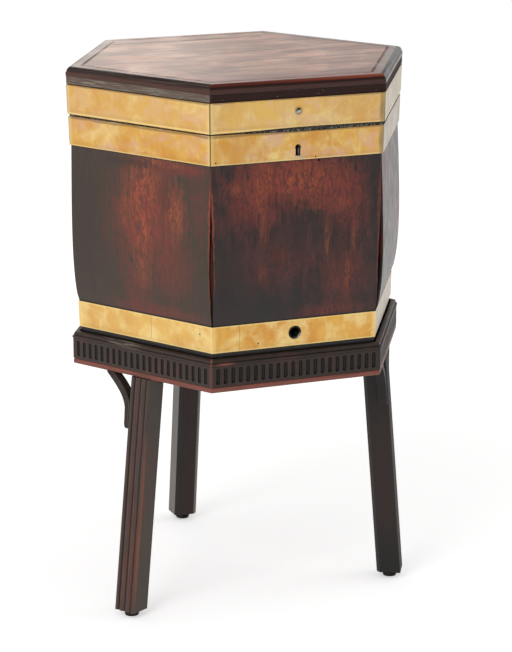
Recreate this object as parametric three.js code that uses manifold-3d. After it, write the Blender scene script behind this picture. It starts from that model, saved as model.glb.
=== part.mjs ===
// Six-sided brass-bound cellarette: a lidded, metal-lined case standing in a moulded
// stand on three splayed legs. Millimetres, +Z up, and the front face looks along -Y.
// The origin is on the floor, under the middle of the whole outline: the hexagon
// itself is centred a little in front of it, because the back leg reaches further out.

import * as THREE from 'three';
import { mergeGeometries, mergeVertices } from 'three/addons/utils/BufferGeometryUtils.js';
import Module from 'manifold-3d';

const wasm = await Module();
wasm.setup();

// Counts
const SIDES = 6;
const ARC_STEPS = 4;
const ROUND_STEPS = 16;
const CRACK_STEPS = 8;
const FLUTE_STEPS = 6;
const FLUTE_END_STEPS = 1;
const BOW_STEPS = 8;

// Clearances
const seam = 0.3;
const weld = 0.0005;
const overrun = 4;

// Case: the wooden walls, measured from the middle to the flat of a side (apothem)
const caseApothem = 196.8;
const caseNarrowing = 8.7;
const caseHeight = 288.5;
const wallThickness = 14;
const floorThickness = 12;
const liningThickness = 1.5;
const liningDrop = 12;

// How far each wall has bowed outwards between the brass bands. A lowering of one would
// put the widest place halfway up; less than one moves it down
const wallBows = {
  front: 3.5, front_right: 7.5, back_right: 7.5, back: 4, back_left: 4.5, front_left: 4.5,
};
const bowLowering = 0.6;

// Shrinkage cracks at the front corners of the case, the right one a share of the left
const crackLength = 178;
const crackWidth = 4.4;
const crackDepth = 9;
const crackHeightShare = 0.39;
const crackRightShare = 0.85;

// Brass bands
const bandThickness = 1.5;
const caseBandHeight = 35.4;
const lidBandFrameShare = 0.93;
const footBandHeight = 33.6;
const footBandRise = 14.5;
const footBandThickness = 0.9;

// Keyhole, lock and bolt
const keyholeHeight = 13.5;
const keyholeRadius = 3.2;
const keyholeSlot = 3.8;
const keyholeDropShare = 0.655;
const lockWidth = 56;
const lockHeight = 38;
const lockDepth = 9;
const lockInset = 1.5;
const lockWall = 1.2;
const boltWidth = 20;
const boltHeight = 15;
const boltDepthShare = 0.5;
const boltTravel = 7;
const strikeWidth = 44;
const strikeThickness = 1.5;

// Drain
const drainBore = 12.6;
const drainWall = 2;
const drainProud = 0.5;

// Lid
const lidGap = 0.5;
const lidStep = 0.5;
const lidFrameHeight = 38.7;
const boardThickness = 21.9;
const boardOverhang = 0.2;
const ovoloWidth = 6.3;
const ovoloHeight = 6.4;
const ovoloFillet = 1.1;
const studRadius = 3.5;
const studShank = 1.8;
const studHeight = 1.3;
const studGrip = 8;
const studHeightShare = 0.56;

// Hinges
const hingeLength = 44;
const hingeOffsetShare = 0.53;
const leafThickness = 1.5;
const leafReach = 10;
const knuckleRadius = 3;
const pinRadius = 1.4;
const middleKnuckleShare = 0.4;

// Stand: fluted rails, top rim and lower bead
const standMargin = 9.5;
const railThickness = 22;
const railHeight = 26.7;
const rimHeight = 8;
const rimClearance = 2.3;
const rimTopWidth = 3;
const rimBeadHeight = 3.1;
const rimBeadProud = 1;
const rimQuirk = 0.9;
const beadHeight = 6.7;
const beadDepth = 11;
const beadRoundness = 1.5;
const fluteWidth = 4.4;
const flutePitch = 10.2;
const fluteLength = 19;
const fluteRise = 3.8;
const fluteSinkShare = 0.46;

// Legs, feet and brackets
const legHeight = 300.9;
const legWidth = 32;
const legDepth = 32;
const legProud = 1.4;
const legChamfer = 5;
const legSpread = 38;
const legSpreadShares = { front_right: 0.62, back: 1, front_left: 1 };
const legSetbacks = { front_right: 3.5, back: 0, front_left: 0 };
const reedRelief = 2.2;
const reedShares = [0.2, 0.3, 0.3, 0.2];
const tenonHeight = 18;
const tenonWidthShare = 0.5;
const tenonDepthShare = 0.6;
const glideRadius = 9.3;
const glideHeight = 8;
const bracketReach = 42;
const bracketDrop = 70.5;
const bracketDepth = 12;
const bracketSetback = 1.5;
const bracketOuterShares = [
  [1, 0], [0.62, 0.2], [0.3, 0.34], [0.21, 0.58], [0.2, 0.93], [0.12, 1], [0, 1],
];
const bracketInnerShares = [[0, 0.42], [0.06, 0.28], [0.34, 0.14], [0.64, 0]];
const stubReach = 3.6;
const stubDrop = 7;
const stubDepth = 8;

// Derived heights, from the floor up
const standUnderZ = glideHeight + seam + legHeight + seam;
const beadTopZ = standUnderZ + beadHeight;
const railBottomZ = beadTopZ + seam;
const railTopZ = railBottomZ + railHeight;
const rimBottomZ = railTopZ + seam;
const caseBottomZ = railTopZ + seam;
const lidBottomZ = caseBottomZ + caseHeight + lidGap;

// Derived plan sizes
const mitre = Math.tan(Math.PI / SIDES);
const lean = caseNarrowing / caseHeight;
const caseFootApothem = caseApothem - caseNarrowing;
const friezeApothem = caseFootApothem + standMargin;
const railInner = friezeApothem - railThickness;
const beadInner = friezeApothem - beadDepth;
const bandSetback = leafThickness + 3 * seam;
const halfSide = caseApothem * mitre;

// Outer wooden face of the case at a height above its own foot
const wallAt = (height) => caseFootApothem + lean * height;
// Outer wooden face of the lid frame at a height above its own lower edge
const lidWallAt = (height) => caseApothem + lidStep + lean * height;

// Materials
function finish(color, roughness, metalness) {
  return new THREE.MeshStandardMaterial({ color, roughness, metalness, flatShading: true });
}
const mahogany = finish(0x4a2c26, 0.45, 0);
const mahoganyDark = finish(0x3a2c28, 0.5, 0);
const mahoganyTop = finish(0x7d5c50, 0.3, 0);
const mahoganyRed = finish(0x7a4638, 0.5, 0);
const standWood = finish(0x463c38, 0.55, 0);
const brass = finish(0xd6a552, 0.4, 0.9);
const lead = finish(0x7c7f80, 0.6, 0.7);
const steel = finish(0x9a9a96, 0.4, 0.9);
const iron = finish(0x55524e, 0.55, 0.8);

// Six times the volume that a welded geometry encloses, negative if inside out
function signedVolume(at, corners) {
  const [p, q, r] = [new THREE.Vector3(), new THREE.Vector3(), new THREE.Vector3()];
  let volume = 0;
  for (let i = 0; i < corners.length; i += 3) {
    p.fromBufferAttribute(at, corners[i]);
    q.fromBufferAttribute(at, corners[i + 1]);
    r.fromBufferAttribute(at, corners[i + 2]);
    volume += p.dot(q.cross(r));
  }
  return volume;
}

// A geometry reduced to its welded corners, without collapsed triangles, facing out
function closed(geometry) {
  geometry.deleteAttribute('normal');
  geometry.deleteAttribute('uv');
  const welded = mergeVertices(geometry, weld);
  const corners = welded.index.array;
  const kept = [];
  for (let i = 0; i < corners.length; i += 3) {
    const [a, b, c] = [corners[i], corners[i + 1], corners[i + 2]];
    if (a !== b && b !== c && c !== a) kept.push(a, b, c);
  }
  if (signedVolume(welded.attributes.position, kept) < 0) kept.reverse();
  welded.setIndex(kept);
  return welded;
}

function solidOf(geometry) {
  const welded = closed(geometry);
  return new wasm.Manifold(new wasm.Mesh({
    numProp: 3,
    vertProperties: Float32Array.from(welded.attributes.position.array),
    triVerts: Uint32Array.from(welded.index.array),
  }));
}

function geometryOf(solid) {
  const mesh = solid.getMesh();
  const geometry = new THREE.BufferGeometry();
  geometry.setAttribute('position', new THREE.BufferAttribute(mesh.vertProperties, 3));
  geometry.setIndex(new THREE.BufferAttribute(mesh.triVerts, 1));
  return geometry;
}

function cut(geometry, cutters) {
  let solid = solidOf(geometry);
  for (const cutter of cutters) solid = solid.subtract(solidOf(cutter));
  return geometryOf(solid);
}

function join(geometries) {
  let solid = solidOf(geometries[0]);
  for (const other of geometries.slice(1)) solid = solid.add(solidOf(other));
  return geometryOf(solid);
}

// A box given by its limits along x, outwards (-y) and up
function slab(left, right, inner, outer, bottom, top) {
  const geometry = new THREE.BoxGeometry(right - left, outer - inner, top - bottom);
  geometry.translate((left + right) / 2, -(inner + outer) / 2, (bottom + top) / 2);
  return geometry;
}

function outline(points) {
  return new THREE.Shape(points.map(([x, y]) => new THREE.Vector2(x, y)));
}

// A section of apothem and height, run along the front side with mitred ends
function mitredLength(section) {
  const end = seam / 2 / Math.cos(Math.PI / SIDES);
  const options = { depth: 1, bevelEnabled: false };
  const geometry = new THREE.ExtrudeGeometry(outline(section), options);
  const at = geometry.attributes.position;
  for (let i = 0; i < at.count; i += 1) {
    const apothem = at.getX(i);
    const toLeft = at.getZ(i) > 0 ? -1 : 1;
    at.setXYZ(i, toLeft * (apothem * mitre - end), -apothem, at.getY(i));
  }
  return geometry;
}

// A section of apothem and height, run round all six sides
function hexagonal(section) {
  const toCorner = 1 / Math.cos(Math.PI / SIDES);
  const points = section.map(([a, z]) => new THREE.Vector2(a * toCorner, z));
  const geometry = new THREE.LatheGeometry(points, SIDES, Math.PI / SIDES);
  geometry.rotateX(Math.PI / 2);
  return geometry;
}

function hexagonalRing(section) {
  return hexagonal([...section, section[0]]);
}

// Points of a quarter or half ellipse in a section, its ends included
function arc(centreA, centreZ, radiusA, radiusZ, from, to) {
  const points = [];
  for (let i = 0; i <= ARC_STEPS; i += 1) {
    const angle = from + ((to - from) * i) / ARC_STEPS;
    const a = centreA + radiusA * Math.cos(angle);
    points.push([a, centreZ + radiusZ * Math.sin(angle)]);
  }
  return points;
}

function rod(radius, length) {
  return new THREE.CylinderGeometry(radius, radius, length, ROUND_STEPS);
}

function piece(parent, name, geometry, material) {
  const mesh = new THREE.Mesh(closed(geometry), material);
  mesh.name = name;
  parent.add(mesh);
}

const sideNames = ['front', 'front_right', 'back_right', 'back', 'back_left', 'front_left'];

// One turned group for each side of the hexagon; work in it is done as on the front
function sideGroups(parent) {
  return sideNames.map((name, i) => {
    const group = new THREE.Group();
    group.rotation.z = (2 * Math.PI * i) / SIDES;
    parent.add(group);
    return group;
  });
}

const cellarette = new THREE.Group();

// Stand

const stand = new THREE.Group();
cellarette.add(stand);
const standSides = sideGroups(stand);

const legFace = friezeApothem + legProud;
const legBottomZ = glideHeight + seam;
const legTopZ = legBottomZ + legHeight;
const tenonWidth = legWidth * tenonWidthShare;
const tenonSpace = beadInner - seam - railInner;
const tenonDepth = tenonSpace * tenonDepthShare;
const tenonMiddle = railInner + tenonSpace / 2;

const railSection = [
  [friezeApothem, railBottomZ],
  [friezeApothem, railTopZ],
  [railInner, railTopZ],
  [railInner, standUnderZ],
  [beadInner - seam, standUnderZ],
  [beadInner - seam, railBottomZ],
];

// Blind upright flutes, cut side by side into the face of a rail
function fluteCutters() {
  const radius = fluteWidth / 2;
  const run = friezeApothem * mitre - flutePitch / 2;
  const perHalf = Math.floor(run / flutePitch + 1 / 2);
  const capsules = [];
  for (let i = -perHalf; i < perHalf; i += 1) {
    const straight = fluteLength - fluteWidth;
    const capsule = new THREE.CapsuleGeometry(radius, straight, FLUTE_END_STEPS, FLUTE_STEPS);
    capsule.rotateX(Math.PI / 2);
    const out = friezeApothem + fluteWidth * (1 / 2 - fluteSinkShare);
    const middleZ = railBottomZ + fluteRise + fluteLength / 2;
    capsule.translate((i + 1 / 2) * flutePitch, -out, middleZ);
    capsules.push(capsule);
  }
  return mergeGeometries(capsules);
}

function mortiseCutter() {
  const halfWidth = tenonWidth / 2 + seam;
  const halfDepth = tenonDepth / 2 + seam;
  return slab(
    -halfWidth, halfWidth,
    tenonMiddle - halfDepth, tenonMiddle + halfDepth,
    standUnderZ - overrun, standUnderZ + tenonHeight + seam,
  );
}

sideNames.forEach((side, i) => {
  const cutters = [fluteCutters()];
  if (side in legSpreadShares) cutters.push(mortiseCutter());
  const rail = cut(mitredLength(railSection), cutters);
  piece(standSides[i], `stand_rail_${side}`, rail, standWood);
});

// Lower bead round the foot of the rails
const beadSection = [
  [beadInner, standUnderZ],
  ...arc(
    friezeApothem - beadRoundness, (standUnderZ + beadTopZ) / 2,
    beadRoundness - seam, beadHeight / 2, -Math.PI / 2, Math.PI / 2,
  ),
  [beadInner, beadTopZ],
];
piece(stand, 'stand_bead', hexagonalRing(beadSection), mahoganyRed);

// Moulded rim that holds the foot of the case
const rimInner = caseFootApothem + rimClearance;
const rimTopZ = rimBottomZ + rimHeight;
const rimBeadTopZ = rimBottomZ + rimBeadHeight;
const quirkTopZ = rimBeadTopZ + rimQuirk;
const rimShoulder = friezeApothem - rimQuirk;
const rimSection = [
  [rimInner, rimBottomZ],
  ...arc(
    friezeApothem, (rimBottomZ + rimBeadTopZ) / 2,
    rimBeadProud, rimBeadHeight / 2, -Math.PI / 2, Math.PI / 2,
  ),
  [rimShoulder - rimQuirk, rimBeadTopZ],
  [rimShoulder - rimQuirk, quirkTopZ],
  ...arc(
    rimInner + rimTopWidth, quirkTopZ,
    rimShoulder - rimInner - rimTopWidth, rimTopZ - quirkTopZ, 0, Math.PI / 2,
  ),
  [rimInner, rimTopZ],
];
piece(stand, 'stand_rim', hexagonalRing(rimSection), standWood);

// Sets a piece back, and pushes it outwards towards the floor, as the legs lean
function splay(geometry, spread, setback) {
  const at = geometry.attributes.position;
  for (let i = 0; i < at.count; i += 1) {
    const below = (legTopZ - at.getZ(i)) / legHeight;
    at.setY(i, at.getY(i) + setback - spread * below);
  }
  return geometry;
}

// Square leg with a reeded outer face, chamfered inner corners and a tenon at its top
function legGeometry(spread, setback) {
  const shape = new THREE.Shape();
  const backY = legDepth - legFace;
  const grooveY = reedRelief - legFace;
  shape.moveTo(legChamfer - legWidth / 2, backY);
  shape.lineTo(-legWidth / 2, backY - legChamfer);
  shape.lineTo(-legWidth / 2, grooveY);
  let left = -legWidth / 2;
  for (const share of reedShares) {
    const half = (legWidth * share) / 2;
    shape.absellipse(left + half, grooveY, half, reedRelief, Math.PI, 2 * Math.PI, false);
    left += 2 * half;
  }
  shape.lineTo(legWidth / 2, backY - legChamfer);
  shape.lineTo(legWidth / 2 - legChamfer, backY);
  const options = { depth: legHeight, bevelEnabled: false, curveSegments: ARC_STEPS / 2 };
  const shaft = new THREE.ExtrudeGeometry(shape, options);
  shaft.translate(0, 0, legBottomZ);
  splay(shaft, spread, setback);
  const tenon = slab(
    -tenonWidth / 2, tenonWidth / 2,
    tenonMiddle - tenonDepth / 2, tenonMiddle + tenonDepth / 2,
    legTopZ - overrun, standUnderZ + tenonHeight,
  );
  return join([shaft, tenon]);
}

// Open curved strip between the side of a leg and the underside of the stand
function bracketGeometry(hand, spread, setback) {
  const foot = legWidth / 2 + seam;
  const place = ([across, down]) => [
    hand * (foot + bracketReach * across), legTopZ - bracketDrop * down,
  ];
  const [start, outerA, outerB, outerEnd, ...tail] = bracketOuterShares.map(place);
  const [innerStart, innerA, innerB, innerEnd] = bracketInnerShares.map(place);
  const shape = new THREE.Shape();
  shape.moveTo(...start);
  shape.bezierCurveTo(...outerA, ...outerB, ...outerEnd);
  for (const point of tail) shape.lineTo(...point);
  shape.lineTo(...innerStart);
  shape.bezierCurveTo(...innerA, ...innerB, ...innerEnd);
  const options = { depth: bracketDepth, bevelEnabled: false, curveSegments: ARC_STEPS + 2 };
  const geometry = new THREE.ExtrudeGeometry(shape, options);
  geometry.rotateX(Math.PI / 2);
  geometry.translate(0, -(legFace - bracketSetback - bracketDepth), 0);
  return splay(geometry, spread, setback);
}

for (const [side, share] of Object.entries(legSpreadShares)) {
  const group = standSides[sideNames.indexOf(side)];
  const spread = legSpread * share;
  const setback = legSetbacks[side];
  piece(group, `leg_${side}`, legGeometry(spread, setback), standWood);
  const glide = rod(glideRadius, glideHeight);
  glide.rotateX(Math.PI / 2);
  glide.translate(0, legDepth / 2 - legFace + setback - spread, glideHeight / 2);
  piece(group, `glide_${side}`, glide, iron);
  piece(group, `bracket_${side}_left`, bracketGeometry(-1, spread, setback), standWood);
  if (side !== 'front_left') {
    piece(group, `bracket_${side}_right`, bracketGeometry(1, spread, setback), standWood);
    continue;
  }
  // Only a stub is left of the lost bracket
  const stubStart = legWidth / 2 + seam;
  const stubInner = legFace - legDepth + legChamfer;
  const stub = slab(
    stubStart, stubStart + stubReach,
    stubInner, stubInner + stubDepth,
    legTopZ - stubDrop, legTopZ,
  );
  piece(group, 'bracket_front_left_stub', splay(stub, spread, setback), standWood);
}

// Case

const cabinet = new THREE.Group();
cabinet.position.z = caseBottomZ;
cellarette.add(cabinet);
const caseSides = sideGroups(cabinet);

const lockInner = wallAt(caseHeight) - wallThickness + lockInset;
const lockOuter = lockInner + lockDepth;
const lockTop = caseHeight - seam;
const boltDepth = lockDepth * boltDepthShare;
const boltMiddle = (lockInner + lockOuter) / 2;
const caseBandTop = caseHeight - bandSetback;
const caseBandFoot = caseBandTop - caseBandHeight;
const footBandTop = footBandRise + footBandHeight;
const keyholeZ = caseBandTop - caseBandHeight * keyholeDropShare;
const drainZ = footBandRise + footBandHeight / 2;
const drainInner = wallAt(drainZ) - wallThickness - seam - liningThickness;
const drainOuter = wallAt(drainZ) + seam + footBandThickness + drainProud;
const drainRadius = drainBore / 2 + drainWall;
const hingeInner = wallAt(caseHeight) - leafReach;
const lidBandHeight = lidFrameHeight * lidBandFrameShare;
const lidBandOuter = lidWallAt(bandSetback) + seam + bandThickness;
const hingeAxis = lidBandOuter + knuckleRadius + 2 * seam;
const hingeX = halfSide * hingeOffsetShare;

// Round top and narrower slot of the keyhole, from an inner to an outer apothem
function keyholeCutters(inner, outer) {
  const topZ = keyholeZ + keyholeHeight / 2;
  const round = rod(keyholeRadius, outer - inner);
  round.translate(0, -(inner + outer) / 2, topZ - keyholeRadius);
  const footZ = topZ - keyholeHeight;
  const slotHalf = keyholeSlot / 2;
  return [round, slab(-slotHalf, slotHalf, inner, outer, footZ, topZ - keyholeRadius)];
}

function drainCutter() {
  const run = drainOuter - drainInner + 2 * overrun;
  const hole = rod(drainRadius + seam, run);
  hole.translate(0, -(drainInner + drainOuter) / 2, drainZ);
  return hole;
}

// A box round the bolt's section, widened all round by a margin
function boltSpace(margin, bottom, top) {
  const halfWidth = boltWidth / 2 + margin;
  const halfDepth = boltDepth / 2 + margin;
  return slab(
    -halfWidth, halfWidth, boltMiddle - halfDepth, boltMiddle + halfDepth, bottom, top,
  );
}

function lockMortise() {
  const half = lockWidth / 2 + seam;
  return slab(
    -half, half, lockInner - overrun, lockOuter + seam,
    lockTop - lockHeight - seam, caseHeight + overrun,
  );
}

// Upright lens at the outer edge of a corner of the case, on the hand and of the share given
function crackCutter(hand, share) {
  const lens = new THREE.SphereGeometry(1, CRACK_STEPS, CRACK_STEPS);
  lens.rotateX(Math.PI / 2);
  lens.scale((crackWidth * share) / 2, crackDepth, (crackLength * share) / 2);
  lens.rotateZ((hand * Math.PI) / SIDES);
  const z = caseHeight * crackHeightShare;
  lens.translate(hand * wallAt(z) * mitre, -wallAt(z), z);
  return lens;
}

function leafMortises(bottom, top) {
  return [-1, 1].map((hand) => slab(
    hand * hingeX - hingeLength / 2 - seam, hand * hingeX + hingeLength / 2 + seam,
    hingeInner - seam, hingeAxis + overrun, bottom, top,
  ));
}

// Section of a wall that has bowed outwards between its two brass bands
function wallSection(bow) {
  const bowFoot = footBandTop + seam;
  const bowTop = caseBandFoot - seam;
  const bowed = [];
  for (let i = 0; i <= BOW_STEPS; i += 1) {
    const share = i / BOW_STEPS;
    const height = bowFoot + (bowTop - bowFoot) * share;
    const swell = bow * Math.sin(Math.PI * share ** bowLowering);
    bowed.push([wallAt(height) + swell, height]);
  }
  return [
    [wallAt(0) - wallThickness, 0],
    [wallAt(0), 0],
    ...bowed,
    [wallAt(caseHeight), caseHeight],
    [wallAt(caseHeight) - wallThickness, caseHeight],
  ];
}

// Section of a thin strip lying on a leaning wall
function stripSection(wall, bottom, top, thickness) {
  return [
    [wall(bottom) + seam, bottom],
    [wall(bottom) + seam + thickness, bottom],
    [wall(top) + seam + thickness, top],
    [wall(top) + seam, top],
  ];
}

const wallCutters = {
  front: [
    crackCutter(-1, 1), crackCutter(1, crackRightShare), drainCutter(), lockMortise(),
    ...keyholeCutters(lockInner, caseApothem + overrun),
  ],
  front_right: [crackCutter(-1, crackRightShare)],
  front_left: [crackCutter(1, 1)],
  back: leafMortises(caseHeight - leafThickness - 2 * seam, caseHeight + overrun),
};
const bandCutters = {
  front: keyholeCutters(lockOuter, lidBandOuter + overrun),
};
const caseBandSection = stripSection(wallAt, caseBandFoot, caseBandTop, bandThickness);

sideNames.forEach((side, i) => {
  const wall = mitredLength(wallSection(wallBows[side]));
  const cutWall = side in wallCutters ? cut(wall, wallCutters[side]) : wall;
  const wallWood = side === 'front' ? mahogany : mahoganyDark;
  piece(caseSides[i], `case_side_${side}`, cutWall, wallWood);
  const band = mitredLength(caseBandSection);
  const cutBand = side in bandCutters ? cut(band, bandCutters[side]) : band;
  piece(caseSides[i], `case_band_${side}`, cutBand, brass);
});

const footBandSection = stripSection(wallAt, footBandRise, footBandTop, footBandThickness);
const footBand = cut(hexagonalRing(footBandSection), [drainCutter()]);
piece(cabinet, 'case_foot_band', footBand, brass);

// Floor board between the walls
const roomAt = (height) => wallAt(height) - wallThickness - seam;
const floorSection = [
  [0, 0], [roomAt(0), 0], [roomAt(floorThickness), floorThickness], [0, floorThickness],
];
piece(cabinet, 'case_floor', hexagonal(floorSection), mahoganyDark);

// Sheet metal lining: an open tray with leaning sides
const liningFoot = floorThickness + seam;
const liningTop = caseHeight - liningDrop;
const liningFloor = liningFoot + liningThickness;
const liningSection = [
  [0, liningFoot],
  [roomAt(liningFoot), liningFoot],
  [roomAt(liningTop), liningTop],
  [roomAt(liningTop) - liningThickness, liningTop],
  [roomAt(liningFloor) - liningThickness, liningFloor],
  [0, liningFloor],
];
piece(cabinet, 'case_lining', cut(hexagonal(liningSection), [drainCutter()]), lead);

// Drain bush from the lining to just proud of the foot band
const drainSection = [
  [drainBore / 2, -drainOuter],
  [drainRadius, -drainOuter],
  [drainRadius, -drainInner],
  [drainBore / 2, -drainInner],
  [drainBore / 2, -drainOuter],
];
const bushPoints = drainSection.map(([r, y]) => new THREE.Vector2(r, y));
const bush = new THREE.LatheGeometry(bushPoints, ROUND_STEPS);
bush.translate(0, 0, drainZ);
piece(cabinet, 'drain_bush', bush, iron);

// Lock case let into the front wall, open at the keyhole and at the bolt
const lockFoot = lockTop - lockHeight;
const lockSlab = slab(-lockWidth / 2, lockWidth / 2, lockInner, lockOuter, lockFoot, lockTop);
const lockRoom = slab(
  lockWall - lockWidth / 2, lockWidth / 2 - lockWall,
  lockInner + lockWall, lockOuter - lockWall,
  lockFoot + lockWall, lockTop - lockWall,
);
const lockShape = cut(lockSlab, [
  lockRoom,
  boltSpace(seam, lockTop - 2 * lockWall, lockTop + overrun),
  ...keyholeCutters(boltMiddle, lockOuter + overrun),
]);
piece(cabinet, 'lock_case', lockShape, steel);

// Bolt, drawn back
const boltTop = lockTop - seam;
piece(cabinet, 'lock_bolt', boltSpace(0, boltTop - boltHeight, boltTop), steel);

// Butt hinges: a leaf with two end knuckles and the pin below, one knuckle above
const knuckleLength = hingeLength * middleKnuckleShare;
const endLength = (hingeLength - knuckleLength) / 2 - seam;
const endMiddle = (hingeLength - endLength) / 2;

function knuckle(radius, length, x, axisZ) {
  const barrel = rod(radius, length);
  barrel.rotateZ(Math.PI / 2);
  barrel.translate(x, -hingeAxis, axisZ);
  return barrel;
}

function leaf(bottom) {
  const half = hingeLength / 2;
  const outer = hingeAxis - knuckleRadius - seam;
  return slab(-half, half, hingeInner, outer, bottom, bottom + leafThickness);
}

function tongue(length, x, bottom) {
  const start = hingeAxis - knuckleRadius - 2 * seam;
  const half = length / 2;
  return slab(x - half, x + half, start, hingeAxis - pinRadius, bottom, bottom + leafThickness);
}

function lowerLeaf() {
  const bottom = caseHeight - seam - leafThickness;
  const axisZ = caseHeight + lidGap / 2;
  return join([
    leaf(bottom),
    tongue(endLength, -endMiddle, bottom),
    tongue(endLength, endMiddle, bottom),
    knuckle(knuckleRadius, endLength, -endMiddle, axisZ),
    knuckle(knuckleRadius, endLength, endMiddle, axisZ),
    knuckle(pinRadius, hingeLength - seam, 0, axisZ),
  ]);
}

function upperLeaf() {
  const axisZ = -lidGap / 2;
  const plate = join([
    leaf(seam),
    tongue(knuckleLength, 0, seam),
    knuckle(knuckleRadius, knuckleLength, 0, axisZ),
  ]);
  return cut(plate, [knuckle(pinRadius + seam, knuckleLength + overrun, 0, axisZ)]);
}

// Lid

const lid = new THREE.Group();
lid.position.z = lidBottomZ;
cellarette.add(lid);
const lidSides = sideGroups(lid);
const backIndex = sideNames.indexOf('back');

for (const [hand, word] of [[-1, 'left'], [1, 'right']]) {
  const lower = lowerLeaf();
  lower.translate(-hand * hingeX, 0, 0);
  piece(caseSides[backIndex], `hinge_leaf_case_${word}`, lower, brass);
  const upper = upperLeaf();
  upper.translate(-hand * hingeX, 0, 0);
  piece(lidSides[backIndex], `hinge_leaf_lid_${word}`, upper, brass);
}

// Lid bands, one strip a side, and the stud in the front one
const lidBandTop = bandSetback + lidBandHeight;
const studZ = bandSetback + lidBandHeight * studHeightShare;
const studFace = lidWallAt(studZ) + seam + bandThickness + seam;
const studEnd = lidWallAt(studZ) - studGrip;

function studCutter() {
  const run = studFace - studEnd + overrun;
  const hole = rod(studShank + seam, run);
  hole.translate(0, -(studFace + overrun + studEnd - seam) / 2, studZ);
  return hole;
}

const lidBandSection = stripSection(lidWallAt, bandSetback, lidBandTop, bandThickness);
sideNames.forEach((side, i) => {
  const band = mitredLength(lidBandSection);
  const cutBand = side === 'front' ? cut(band, [studCutter()]) : band;
  piece(lidSides[i], `lid_band_${side}`, cutBand, brass);
});

const studSection = [
  [0, -studEnd],
  [studShank, -studEnd],
  [studShank, -studFace],
  ...arc(0, -studFace, studRadius, -studHeight, 0, Math.PI / 2),
];
const studPoints = studSection.map(([r, y]) => new THREE.Vector2(r, y));
const stud = new THREE.LatheGeometry(studPoints, ROUND_STEPS);
stud.translate(0, 0, studZ);
piece(lid, 'lid_stud', stud, steel);

// Frame under the board, let in for the strike, the hinge leaves and the stud
const strikeMargin = lockWall + seam;
const frameSection = [
  [lidWallAt(0) - wallThickness, 0],
  [lidWallAt(0), 0],
  [lidWallAt(lidFrameHeight), lidFrameHeight],
  [lidWallAt(lidFrameHeight) - wallThickness, lidFrameHeight],
];

function strikeSpace(clearance, bottom, top) {
  const half = strikeWidth / 2 + clearance;
  const depth = boltDepth / 2 + strikeMargin + clearance;
  return slab(-half, half, boltMiddle - depth, boltMiddle + depth, bottom, top);
}

const backCutters = leafMortises(-overrun, leafThickness + 2 * seam);
for (const cutter of backCutters) cutter.rotateZ(Math.PI);
const lidFrame = cut(hexagonalRing(frameSection), [
  strikeSpace(seam, -overrun, strikeThickness + seam),
  boltSpace(seam, 0, boltTravel + seam),
  studCutter(),
  ...backCutters,
]);
piece(lid, 'lid_frame', lidFrame, mahoganyDark);

const strike = cut(strikeSpace(0, 0, strikeThickness), [
  boltSpace(seam, -overrun, strikeThickness + overrun),
]);
piece(lid, 'lock_strike', strike, steel);

// Board with an ovolo worked on its upper edge
const boardFoot = lidFrameHeight + seam;
const boardEdge = lidWallAt(lidFrameHeight) + seam + bandThickness + boardOverhang;
const boardTop = boardFoot + boardThickness;
const ovoloFoot = boardTop - ovoloHeight;
const ovoloInner = boardEdge - ovoloFillet - ovoloWidth;
const boardSection = [
  [0, boardFoot],
  [boardEdge, boardFoot],
  [boardEdge, ovoloFoot],
  ...arc(ovoloInner, ovoloFoot, ovoloWidth, ovoloHeight, 0, Math.PI / 2),
  [0, boardTop],
];
piece(lid, 'lid_board', hexagonal(boardSection), mahoganyTop);

// The outline runs from the stud or the board's front edge to the foot of the back leg
const frontReach = Math.max(boardEdge, studFace + studHeight);
const backReach = legFace + legSpread * legSpreadShares.back;
cellarette.position.y = (frontReach - backReach) / 2;

export default cellarette;
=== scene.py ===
"""A six-sided brass-bound cellarette: the finished look of its wood, brass, steel and lead."""

import math

import bpy
from bpy.props import FloatProperty, FloatVectorProperty, PointerProperty
from mathutils import Matrix, Vector


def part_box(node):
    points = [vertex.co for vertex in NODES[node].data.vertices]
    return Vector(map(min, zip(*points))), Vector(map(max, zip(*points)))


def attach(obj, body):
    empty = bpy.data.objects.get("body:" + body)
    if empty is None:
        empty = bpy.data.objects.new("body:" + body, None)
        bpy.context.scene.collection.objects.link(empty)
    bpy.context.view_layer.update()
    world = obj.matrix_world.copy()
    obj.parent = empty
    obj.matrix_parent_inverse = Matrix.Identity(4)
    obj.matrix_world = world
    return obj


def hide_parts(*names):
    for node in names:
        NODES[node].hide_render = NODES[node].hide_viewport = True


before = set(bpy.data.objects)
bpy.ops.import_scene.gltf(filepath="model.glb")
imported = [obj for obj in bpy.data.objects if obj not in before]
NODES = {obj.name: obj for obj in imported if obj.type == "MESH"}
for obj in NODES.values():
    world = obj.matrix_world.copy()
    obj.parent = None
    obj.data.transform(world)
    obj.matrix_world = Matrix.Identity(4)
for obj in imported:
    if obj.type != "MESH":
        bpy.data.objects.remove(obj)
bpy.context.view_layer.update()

bl_info = {
    "name": "Cellarette",
    "version": (1, 0, 0),
    "blender": (4, 5, 0),
    "location": "View3D > Sidebar > Cellarette",
    "description": "Builds a six-sided brass-bound cellarette on a fluted stand",
    "category": "Add Mesh",
}

SIDES = ("front", "front_right", "back_right", "back", "back_left", "front_left")
LEG_SIDES = ("front_left", "front_right", "back")
TURN = math.radians(60)
COS, SIN, TAN = math.cos(TURN / 2), math.sin(TURN / 2), math.tan(TURN / 2)

# Places nearer to each other than this count as the same
TOUCH = 2e-5

# The upright line through the middle of the hexagon
BOARD_LOW, BOARD_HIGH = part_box("lid_board")
MIDDLE = Vector((0, (BOARD_LOW.y + BOARD_HIGH.y) / 2, 0))

# No corner of the front and back sides lies further to the side than this
CORNER_REACH = 0.12

# The lid's cross-banded border, and how far its joints lie from its back edge
BORDER_WIDTH = 0.0185
NEAR_JOINT = 0.052
FAR_JOINT = 0.166

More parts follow.
